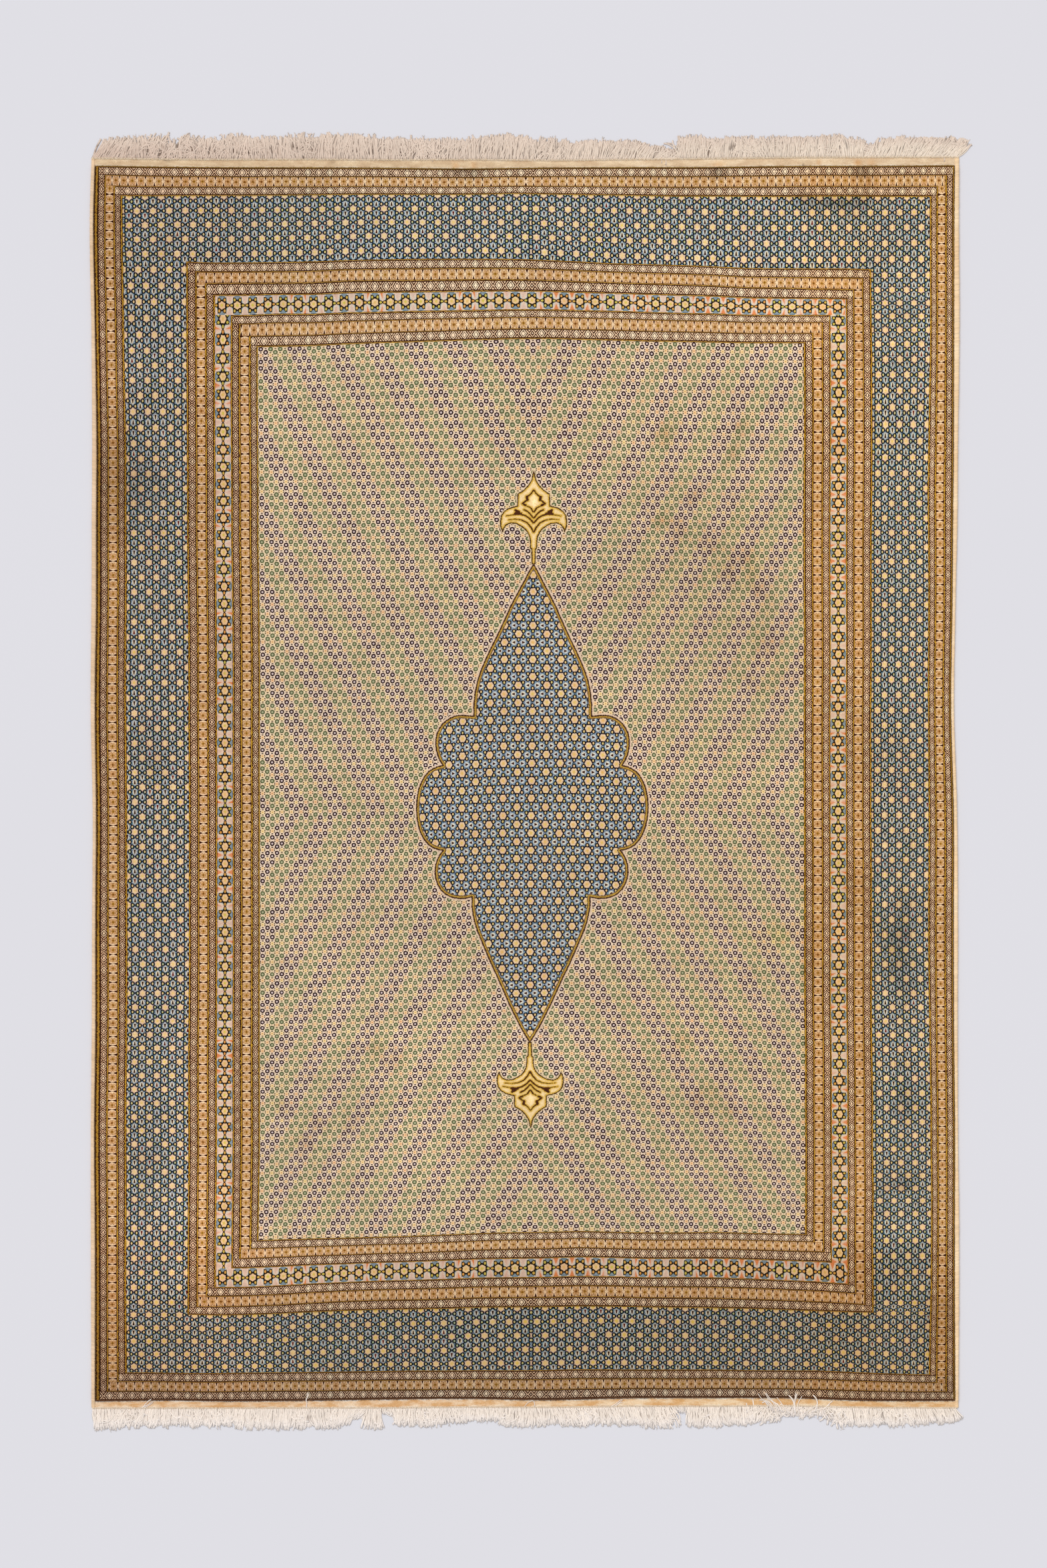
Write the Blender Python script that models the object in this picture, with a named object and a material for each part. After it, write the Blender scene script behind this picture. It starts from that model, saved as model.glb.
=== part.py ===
"""Hand-knotted room rug, laid flat: pile body, flat-woven ends, overcast edges and fringes.

Units are metres. +Z is up out of the pile, +Y runs along the warps towards the
top end, +X runs along the wefts. The origin is on the underside, at the centre
of the woven body. Everything rests on the plane z = 0.
"""

import math

import bmesh
import bpy

# ----------------------------------------------------------------------------
# Driving dimensions
# ----------------------------------------------------------------------------
HALF_WIDTH = 1.2350        # centre line to the outer line of an overcast edge
HALF_PILE_WIDTH = 1.2220   # centre line to the nominal side of the pile
HALF_LENGTH = 1.7765       # centre line to the nominal outer line of a flat-woven end
HALF_PILE_LENGTH = 1.7555  # centre line to the nominal end of the pile

PILE_THICKNESS = 0.0090    # knots and foundation together
PILE_RIM = 0.0030          # round of the sheared edge
KILIM_THICKNESS = 0.0030   # flat weave, no pile
SELVEDGE_THICKNESS = 0.0080
SELVEDGE_RIM = 0.0026
FRINGE_THICKNESS = 0.0034  # warp ends lying side by side

GAP = 0.0003               # clearance between neighbouring pieces
STEP = 0.060               # spacing of the outline's points along an edge

FRINGE_HEAD = 0.0060       # closed strip at the root of the fringe
TOOTH_PITCH = 0.0260       # width of one tooth of the comb at its root
TOOTH_GAP = 0.0010         # slit between two teeth at their roots
TIP_GAP = 0.0012           # least space between two neighbouring tips
TIP_TAPER = 0.78           # width of a tooth near its tip, against its root

# The edges of a hand-made rug wander. Each row gives a station along the length
# (m) and how far each edge lies outside (+) or inside (-) its nominal line (mm).
SIDE_COLUMNS = ("y", "selvedge_left", "pile_left", "pile_right", "selvedge_right")
SIDE_ROWS = (
    (1.771, -1.0, 1.0, 0.8, 1.9),
    (1.585, 3.8, 5.3, -0.8, 1.3),
    (1.281, -1.1, 0.0, -1.5, 3.0),
    (0.977, -3.0, -4.2, -2.3, -1.3),
    (0.750, -1.9, -3.2, -4.4, -3.0),
    (0.521, -1.3, -2.9, -6.0, -8.4),
    (0.217, 1.0, 0.6, -9.8, -12.9),
    (-0.087, -4.6, -2.7, -2.1, -4.0),
    (-0.391, -3.0, -0.6, -2.6, -1.6),
    (-0.695, -1.9, -1.0, -1.8, -2.4),
    (-0.999, 0.4, 2.5, 1.5, -1.5),
    (-1.303, 0.6, 0.2, 0.4, 1.9),
    (-1.771, -1.0, 0.6, 2.3, -0.4),
)

# The ends wander too. Station across the width (m), then offsets (mm) as above.
END_COLUMNS = ("x", "kilim_top", "pile_top", "pile_bottom", "kilim_bottom")
END_ROWS = (
    (-1.235, 5.1, 3.6, 2.9, 1.9),
    (-1.018, 1.9, 0.4, 0.0, 1.9),
    (-0.847, 1.1, -1.1, 2.3, 1.9),
    (-0.619, 1.5, -1.5, 0.6, 1.1),
    (-0.391, 0.0, -2.7, -3.0, 1.0),
    (-0.163, 0.8, -4.6, -4.8, -1.5),
    (0.065, -1.3, -1.9, -1.0, -0.8),
    (0.293, 1.1, -1.1, -6.3, -3.6),
    (0.521, 3.4, -0.6, -7.2, -3.8),
    (0.749, 6.5, 2.5, -7.0, -4.9),
    (0.977, 7.6, 3.0, 0.8, 0.0),
    (1.235, 8.0, 4.6, 1.1, 1.0),
)

# The fringe lies in clumps. A row for each clump: where it starts and ends along
# the end (m), how far it reaches past the flat weave (mm) and how far its tips
# lean towards +X (mm).
CLUMP_COLUMNS = ("start", "end", "reach", "lean")
CLUMPS_TOP = (
    (-1.233, -1.117, 66, 17),
    (-1.117, -1.024, 74, 9),
    (-1.024, -0.984, 52, 4),
    (-0.984, -0.944, 64, 6),
    (-0.944, -0.863, 64, 7),
    (-0.863, -0.798, 78, 8),
    (-0.798, -0.663, 68, -3),
    (-0.663, -0.576, 72, 0),
    (-0.576, -0.462, 74, 1),
    (-0.462, -0.416, 72, -4),
    (-0.416, -0.277, 66, 0),
    (-0.277, -0.177, 64, 8),
    (-0.177, 0.017, 70, 5),
    (0.017, 0.156, 56, 12),
    (0.156, 0.331, 58, 15),
    (0.331, 0.429, 44, 15),
    (0.429, 0.523, 67, 5),
    (0.523, 0.635, 61, 3),
    (0.635, 0.838, 57, 0),
    (0.838, 0.965, 65, 4),
    (0.965, 1.110, 54, 18),
    (1.110, 1.235, 54, 35),
)
CLUMPS_BOTTOM = (
    (-1.232, -1.161, 64, -6),
    (-1.161, -0.996, 57, -2),
    (-0.996, -0.828, 54, 3),
    (-0.828, -0.724, 62, -4),
    (-0.724, -0.538, 63, 0),
    (-0.538, -0.448, 38, -18),
    (-0.448, -0.410, 62, -3),
    (-0.410, -0.374, 30, 0),
    (-0.374, -0.234, 55, 0),
    (-0.234, -0.169, 48, 4),
    (-0.169, -0.072, 42, 2),
    (-0.072, 0.070, 58, 0),
    (0.070, 0.198, 56, 16),
    (0.198, 0.312, 58, 12),
    (0.312, 0.420, 64, 8),
    (0.420, 0.466, 30, 4),
    (0.466, 0.657, 57, 2),
    (0.657, 0.855, 40, -4),
    (0.855, 0.920, 58, 20),
    (0.920, 1.034, 58, 6),
    (1.034, 1.144, 60, 6),
    (1.144, 1.226, 54, 13),
)


# ----------------------------------------------------------------------------
# Edges as smooth functions of their tables
# ----------------------------------------------------------------------------
def column(rows, columns, name):
    """One named column of a table, with the first column as its stations."""
    order = sorted(rows, key=lambda row: row[0])
    index = columns.index(name)
    return [row[0] for row in order], [row[index] for row in order]


def smooth(stations, values, at):
    """Catmull-Rom interpolation of a table, level past its ends."""
    if at <= stations[0]:
        return values[0]
    if at >= stations[-1]:
        return values[-1]
    i = max(k for k in range(len(stations) - 1) if stations[k] <= at)
    span = stations[i + 1] - stations[i]
    t = (at - stations[i]) / span

    def slope(k):
        low, high = max(k - 1, 0), min(k + 1, len(stations) - 1)
        return (values[high] - values[low]) / (stations[high] - stations[low])

    a, b = values[i], values[i + 1]
    ma, mb = slope(i) * span, slope(i + 1) * span
    return ((2 * t**3 - 3 * t**2 + 1) * a + (t**3 - 2 * t**2 + t) * ma
            + (-2 * t**3 + 3 * t**2) * b + (t**3 - t**2) * mb)


def side_line(name, nominal, sign):
    """x of a long edge as a function of y; sign is -1 on the left, +1 on the right."""
    stations, values = column(SIDE_ROWS, SIDE_COLUMNS, name)
    return lambda y: sign * (nominal + 0.001 * smooth(stations, values, y))


def end_line(name, nominal, sign):
    """y of a short edge as a function of x; sign is +1 at the top, -1 at the bottom."""
    stations, values = column(END_ROWS, END_COLUMNS, name)
    return lambda x: sign * (nominal + 0.001 * smooth(stations, values, x))


selvedge_left = side_line("selvedge_left", HALF_WIDTH, -1)
pile_left = side_line("pile_left", HALF_PILE_WIDTH, -1)
pile_right = side_line("pile_right", HALF_PILE_WIDTH, 1)
selvedge_right = side_line("selvedge_right", HALF_WIDTH, 1)
kilim_top = end_line("kilim_top", HALF_LENGTH, 1)
pile_top = end_line("pile_top", HALF_PILE_LENGTH, 1)
pile_bottom = end_line("pile_bottom", HALF_PILE_LENGTH, -1)
kilim_bottom = end_line("kilim_bottom", HALF_LENGTH, -1)


def stations(low, high):
    """Even stations from low to high, about STEP apart."""
    count = max(2, int(math.ceil((high - low) / STEP)) + 1)
    return [low + (high - low) * k / (count - 1) for k in range(count)]


# ----------------------------------------------------------------------------
# A flat piece of cloth: an outline, filled and given its thickness
# ----------------------------------------------------------------------------
def slab(name, outline, thickness, material, home, rim=0.0):
    curve = bpy.data.curves.new(name + "_outline", "CURVE")
    curve.dimensions = "2D"
    curve.fill_mode = "BOTH"
    curve.extrude = thickness / 2
    spline = curve.splines.new("POLY")
    spline.points.add(len(outline) - 1)
    for point, (x, y) in zip(spline.points, outline):
        point.co = (x, y, 0.0, 1.0)
    spline.use_cyclic_u = True
    guide = bpy.data.objects.new(name + "_outline", curve)
    home.objects.link(guide)
    bpy.context.view_layer.update()
    mesh = bpy.data.meshes.new_from_object(guide.evaluated_get(bpy.context.evaluated_depsgraph_get()))
    bpy.data.objects.remove(guide)
    bpy.data.curves.remove(curve)

    bm = bmesh.new()
    bm.from_mesh(mesh)
    bmesh.ops.remove_doubles(bm, verts=bm.verts[:], dist=0.00002)
    bmesh.ops.recalc_face_normals(bm, faces=bm.faces[:])
    for sign in (1, -1):
        cap = [f for f in bm.faces if f.normal.z * sign > 0.99]
        bmesh.ops.dissolve_faces(bm, faces=cap, use_verts=False)
    if rim > 0:
        bm.normal_update()
        top = {e for f in bm.faces if f.normal.z > 0.99 for e in f.edges}
        bmesh.ops.bevel(bm, geom=list(top), offset=rim, segments=2, profile=0.5,
                        affect="EDGES", clamp_overlap=True)
    bmesh.ops.translate(bm, verts=bm.verts[:], vec=(0.0, 0.0, thickness / 2))
    bmesh.ops.triangulate(bm, faces=bm.faces[:])
    bmesh.ops.recalc_face_normals(bm, faces=bm.faces[:])
    bm.to_mesh(mesh)
    bm.free()
    mesh.name = name
    mesh.materials.clear()
    mesh.materials.append(material)
    piece = bpy.data.objects.new(name, mesh)
    home.objects.link(piece)
    return piece


def finish(name, colour, roughness, sheen=0.0):
    """A Principled material of one colour."""
    material = bpy.data.materials.new(name)
    material.use_nodes = True
    shader = material.node_tree.nodes["Principled BSDF"]
    shader.inputs["Base Color"].default_value = (*colour, 1.0)
    shader.inputs["Roughness"].default_value = roughness
    shader.inputs["Metallic"].default_value = 0.0
    shader.inputs["Sheen Weight"].default_value = sheen
    return material


# ----------------------------------------------------------------------------
# Outlines
# ----------------------------------------------------------------------------
def pile_outline():
    """The knotted body, anticlockwise from its bottom left corner."""
    low, high = -HALF_PILE_LENGTH, HALF_PILE_LENGTH
    left, right = -HALF_PILE_WIDTH, HALF_PILE_WIDTH
    points = []
    for x in stations(left, right):
        points.append((x, pile_bottom(x)))
    for y in stations(low, high)[1:-1]:
        points.append((pile_right(y), y))
    for x in reversed(stations(left, right)):
        points.append((x, pile_top(x)))
    for y in reversed(stations(low, high)[1:-1]):
        points.append((pile_left(y), y))
    return points


def strip_across(inner, outer):
    """A flat-woven end: from just past the pile out to its own edge."""
    xs = stations(-HALF_PILE_WIDTH, HALF_PILE_WIDTH)
    sign = 1 if outer(0.0) > 0 else -1
    near = [(x, inner(x) + sign * GAP) for x in xs]
    far = [(x, outer(x)) for x in xs]
    return near + far[::-1]


def strip_along(inner, outer):
    """An overcast edge: from just past the pile out to its own edge, full length."""
    sign = 1 if outer(0.0) > 0 else -1
    corner = max(abs(inner(HALF_PILE_LENGTH)), abs(inner(-HALF_PILE_LENGTH)), HALF_PILE_WIDTH) + GAP
    rows = stations(-HALF_PILE_LENGTH, HALF_PILE_LENGTH)
    near = [(sign * corner, kilim_bottom(sign * corner)), (sign * corner, rows[0])]
    near += [(inner(y) + sign * GAP, y) for y in rows[1:-1]]
    near += [(sign * corner, rows[-1]), (sign * corner, kilim_top(sign * corner))]
    far = [(outer(rows[0]), kilim_bottom(outer(rows[0])))]
    far += [(outer(y), y) for y in rows]
    far += [(outer(rows[-1]), kilim_top(outer(rows[-1])))]
    return near + far[::-1]


def wobble(k, seed):
    """A repeatable value from -1 to 1 for tooth k."""
    return math.sin(12.9898 * (k + 1) + 78.233 * seed) * math.cos(4.1414 * (k + 1) * seed + 0.7)


def comb(clumps, root, sign, seed):
    """The fringe of one end: a closed head strip with a tooth for each lock of warps."""
    teeth = []
    k = 0
    for start, end, reach, lean in clumps:
        count = max(1, round((end - start) / TOOTH_PITCH))
        width = (end - start) / count
        for j in range(count):
            left = start + j * width + TOOTH_GAP / 2
            right = start + (j + 1) * width - TOOTH_GAP / 2
            inset = abs((j + 0.5) / count - 0.5)
            length = 0.001 * (reach * (1.0 - 0.14 * inset) + 4.0 * wobble(k, seed))
            slant = 0.001 * (lean + 3.0 * wobble(k, seed + 1))
            teeth.append([left, right, length, slant])
            k += 1
    outline = [(x, root(x) + sign * GAP) for x in reversed(stations(clumps[0][0], clumps[-1][1]))]
    before = None
    for left, right, length, slant in teeth:
        middle, half = (left + right) / 2 + slant, TIP_TAPER * (right - left) / 2
        reach = 0.90 * length
        tip_left = middle - half
        if before:
            # neither tooth crosses the other's side, whichever is the longer
            edge, tip_edge, height = before
            share = (reach - FRINGE_HEAD) / (height - FRINGE_HEAD)
            tip_left = max(tip_left, tip_edge + TIP_GAP)
            if share < 1:
                tip_left = max(tip_left, edge + (tip_edge - edge) * share + TIP_GAP)
            else:
                tip_left = max(tip_left, left + (tip_edge + TIP_GAP - left) * share)
        tip_right = max(middle + half, tip_left + 0.006)
        before = (right, tip_right, reach)
        base = root((left + right) / 2)
        head = base + sign * FRINGE_HEAD
        shoulder = base + sign * reach
        tip = base + sign * length
        outline += [
            (left, head),
            (tip_left, shoulder),
            ((tip_left + tip_right) / 2, tip),
            (tip_right, shoulder),
            (right, head),
        ]
    return outline


# ----------------------------------------------------------------------------
# The rug
# ----------------------------------------------------------------------------
def build():
    for item in list(bpy.data.objects):
        bpy.data.objects.remove(item, do_unlink=True)
    home = bpy.data.collections.new("persian_rug")
    bpy.context.scene.collection.children.link(home)

    wool = finish("wool_pile", (0.52, 0.42, 0.29), 0.85, 0.3)
    flat_weave = finish("cotton_flat_weave", (0.76, 0.58, 0.34), 0.85)
    overcast = finish("overcast_cotton", (0.78, 0.58, 0.36), 0.85)
    warps = finish("cotton_fringe", (0.82, 0.74, 0.66), 0.85)

    slab("pile", pile_outline(), PILE_THICKNESS, wool, home, PILE_RIM)
    slab("kilim_top", strip_across(pile_top, kilim_top), KILIM_THICKNESS, flat_weave, home)
    slab("kilim_bottom", strip_across(pile_bottom, kilim_bottom), KILIM_THICKNESS, flat_weave, home)
    slab("selvedge_left", strip_along(pile_left, selvedge_left), SELVEDGE_THICKNESS, overcast, home,
         SELVEDGE_RIM)
    slab("selvedge_right", strip_along(pile_right, selvedge_right), SELVEDGE_THICKNESS, overcast, home,
         SELVEDGE_RIM)
    slab("fringe_top", comb(CLUMPS_TOP, kilim_top, 1, 1), FRINGE_THICKNESS, warps, home)
    slab("fringe_bottom", comb(CLUMPS_BOTTOM, kilim_bottom, -1, 2), FRINGE_THICKNESS, warps, home)


build()
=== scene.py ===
"""A hand-knotted room rug laid flat, seen from straight above.

Units are metres, in the CAD model's own frame: +Z up out of the pile, +Y along
the warps towards the top end, +X along the wefts, the origin on the underside at
the centre of the woven body.

The drawing is set out the way a weaver's cartoon is: in knots, with columns
counted to the right and rows counted downwards. Tables say where the lines of
the drawing lie on this rug, how far each one bows or wanders, and how tightly
each part was beaten down. The patterns themselves are worked in the materials
from those loom coordinates.
"""

import math

import bpy
import numpy as np
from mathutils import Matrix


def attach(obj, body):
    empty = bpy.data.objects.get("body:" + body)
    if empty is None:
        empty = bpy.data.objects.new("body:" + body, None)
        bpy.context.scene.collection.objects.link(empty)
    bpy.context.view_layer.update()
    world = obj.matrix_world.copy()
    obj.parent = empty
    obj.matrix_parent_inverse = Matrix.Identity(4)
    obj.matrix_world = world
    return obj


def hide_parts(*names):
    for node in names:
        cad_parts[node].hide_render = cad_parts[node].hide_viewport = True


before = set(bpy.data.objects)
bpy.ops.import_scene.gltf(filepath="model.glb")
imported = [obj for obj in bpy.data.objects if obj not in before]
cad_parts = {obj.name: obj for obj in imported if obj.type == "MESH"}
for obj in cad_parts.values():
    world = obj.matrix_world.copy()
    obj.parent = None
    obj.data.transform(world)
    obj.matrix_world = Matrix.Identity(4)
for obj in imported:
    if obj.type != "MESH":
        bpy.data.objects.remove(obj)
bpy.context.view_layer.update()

# ----------------------------------------------------------------------------
# Driving dimensions, the same as the CAD model's
# ----------------------------------------------------------------------------
HALF_WIDTH = 1.2350
HALF_PILE_WIDTH = 1.2220
HALF_LENGTH = 1.7765
HALF_PILE_LENGTH = 1.7555
PILE_THICKNESS = 0.0090
PILE_RIM = 0.0030
KILIM_THICKNESS = 0.0030
SELVEDGE_THICKNESS = 0.0080
FRINGE_THICKNESS = 0.0034
GAP = 0.0003

SIDE_COLUMNS = ("y", "selvedge_left", "pile_left", "pile_right", "selvedge_right")
SIDE_ROWS = (
    (1.771, -1.0, 1.0, 0.8, 1.9),
    (1.585, 3.8, 5.3, -0.8, 1.3),
    (1.281, -1.1, 0.0, -1.5, 3.0),
    (0.977, -3.0, -4.2, -2.3, -1.3),
    (0.750, -1.9, -3.2, -4.4, -3.0),
    (0.521, -1.3, -2.9, -6.0, -8.4),
    (0.217, 1.0, 0.6, -9.8, -12.9),
    (-0.087, -4.6, -2.7, -2.1, -4.0),
    (-0.391, -3.0, -0.6, -2.6, -1.6),
    (-0.695, -1.9, -1.0, -1.8, -2.4),
    (-0.999, 0.4, 2.5, 1.5, -1.5),
    (-1.303, 0.6, 0.2, 0.4, 1.9),
    (-1.771, -1.0, 0.6, 2.3, -0.4),
)
END_COLUMNS = ("x", "kilim_top", "pile_top", "pile_bottom", "kilim_bottom")
END_ROWS = (
    (-1.235, 5.1, 3.6, 2.9, 1.9),
    (-1.018, 1.9, 0.4, 0.0, 1.9),
    (-0.847, 1.1, -1.1, 2.3, 1.9),
    (-0.619, 1.5, -1.5, 0.6, 1.1),
    (-0.391, 0.0, -2.7, -3.0, 1.0),
    (-0.163, 0.8, -4.6, -4.8, -1.5),
    (0.065, -1.3, -1.9, -1.0, -0.8),
    (0.293, 1.1, -1.1, -6.3, -3.6),
    (0.521, 3.4, -0.6, -7.2, -3.8),
    (0.749, 6.5, 2.5, -7.0, -4.9),
    (0.977, 7.6, 3.0, 0.8, 0.0),
    (1.235, 8.0, 4.6, 1.1, 1.0),
)
CLUMP_COLUMNS = ("start", "end", "reach", "lean")
CLUMPS_TOP = (
    (-1.233, -1.117, 66, 17),
    (-1.117, -1.024, 74, 9),
    (-1.024, -0.984, 52, 4),
    (-0.984, -0.944, 64, 6),
    (-0.944, -0.863, 64, 7),
    (-0.863, -0.798, 78, 8),
    (-0.798, -0.663, 68, -3),
    (-0.663, -0.576, 72, 0),
    (-0.576, -0.462, 74, 1),
    (-0.462, -0.416, 72, -4),
    (-0.416, -0.277, 66, 0),
    (-0.277, -0.177, 64, 8),
    (-0.177, 0.017, 70, 5),
    (0.017, 0.156, 56, 12),
    (0.156, 0.331, 58, 15),
    (0.331, 0.429, 44, 15),
    (0.429, 0.523, 67, 5),
    (0.523, 0.635, 61, 3),
    (0.635, 0.838, 57, 0),
    (0.838, 0.965, 65, 4),
    (0.965, 1.110, 54, 18),
    (1.110, 1.235, 54, 35),
)
CLUMPS_BOTTOM = (
    (-1.232, -1.161, 64, -6),
    (-1.161, -0.996, 57, -2),
    (-0.996, -0.828, 54, 3),
    (-0.828, -0.724, 62, -4),
    (-0.724, -0.538, 63, 0),
    (-0.538, -0.448, 38, -18),
    (-0.448, -0.410, 62, -3),
    (-0.410, -0.374, 30, 0),
    (-0.374, -0.234, 55, 0),
    (-0.234, -0.169, 48, 4),
    (-0.169, -0.072, 42, 2),
    (-0.072, 0.070, 58, 0),
    (0.070, 0.198, 56, 16),
    (0.198, 0.312, 58, 12),
    (0.312, 0.420, 64, 8),
    (0.420, 0.466, 30, 4),
    (0.466, 0.657, 57, 2),
    (0.657, 0.855, 40, -4),
    (0.855, 0.920, 58, 20),
    (0.920, 1.034, 58, 6),
    (1.034, 1.144, 60, 6),
    (1.144, 1.226, 54, 13),
)


def column(rows, columns, name):
    order = sorted(rows, key=lambda row: row[0])
    index = columns.index(name)
    return [row[0] for row in order], [row[index] for row in order]


def smooth(stations, values, at):
    """Catmull-Rom interpolation of a table, level past its ends."""
    if at <= stations[0]:
        return values[0]
    if at >= stations[-1]:
        return values[-1]
    i = max(k for k in range(len(stations) - 1) if stations[k] <= at)
    span = stations[i + 1] - stations[i]
    t = (at - stations[i]) / span

    def slope(k):
        low, high = max(k - 1, 0), min(k + 1, len(stations) - 1)
        return (values[high] - values[low]) / (stations[high] - stations[low])

    a, b = values[i], values[i + 1]
    ma, mb = slope(i) * span, slope(i + 1) * span
    return ((2 * t**3 - 3 * t**2 + 1) * a + (t**3 - 2 * t**2 + t) * ma
            + (-2 * t**3 + 3 * t**2) * b + (t**3 - t**2) * mb)


def side_line(name, nominal, sign):
    """x of a long edge as a function of y; sign is -1 on the left, +1 on the right."""
    stations, values = column(SIDE_ROWS, SIDE_COLUMNS, name)
    return lambda y: sign * (nominal + 0.001 * smooth(stations, values, y))


def end_line(name, nominal, sign):
    """y of a short edge as a function of x; sign is +1 at the top, -1 at the bottom."""
    stations, values = column(END_ROWS, END_COLUMNS, name)
    return lambda x: sign * (nominal + 0.001 * smooth(stations, values, x))


selvedge_left = side_line("selvedge_left", HALF_WIDTH, -1)
pile_left = side_line("pile_left", HALF_PILE_WIDTH, -1)
pile_right = side_line("pile_right", HALF_PILE_WIDTH, 1)
selvedge_right = side_line("selvedge_right", HALF_WIDTH, 1)
kilim_top = end_line("kilim_top", HALF_LENGTH, 1)
pile_top = end_line("pile_top", HALF_PILE_LENGTH, 1)
pile_bottom = end_line("pile_bottom", HALF_PILE_LENGTH, -1)
kilim_bottom = end_line("kilim_bottom", HALF_LENGTH, -1)


# ----------------------------------------------------------------------------
# The drawing: columns to the right and rows downwards, one unit being 1.9 mm
# ----------------------------------------------------------------------------
UNIT = 0.0019
MID_COL, MID_ROW = 786.0, 1174.0   # the drawing's place of X = 0 and Y = 0
AXIS = 797.5                       # the column that the drawing is mirrored about


def to_x(col):
    return (col - MID_COL) * UNIT


def to_y(row):
    return (MID_ROW - row) * UNIT


def to_col(x):
    return x / UNIT + MID_COL


def to_row(y):
    return MID_ROW - y / UNIT


# How tightly the rug is woven: units of length to a knot, along each direction.
COLUMN_DENSITY = (
    (142, 1.040), (200, 1.050), (250, 1.075), (300, 1.040), (350, 1.030), (400, 1.035),
    (450, 1.020), (500, 1.035), (560, 1.040), (620, 1.035), (680, 1.050), (730, 1.080),
    (775, 1.130), (815, 1.115), (860, 1.068), (910, 1.055), (960, 1.025), (1010, 1.002),
    (1060, 1.022), (1110, 1.035), (1160, 1.018), (1210, 1.035), (1260, 0.992),
    (1310, 0.955), (1340, 0.950), (1430, 0.950),
)
ROW_DENSITY = (
    (251, 0.970), (300, 0.970), (345, 0.985), (395, 1.045), (485, 1.030), (560, 1.040),
    (600, 1.095), (640, 1.115), (680, 1.065), (755, 1.018), (845, 0.990), (935, 0.990),
    (1025, 1.018), (1115, 1.008), (1205, 1.012), (1295, 0.998), (1385, 1.000),
    (1475, 0.988), (1565, 0.940), (1655, 0.943), (1745, 0.935), (1835, 0.945),
    (1925, 0.950), (2000, 0.920), (2040, 0.895), (2100, 0.880),
)

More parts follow.
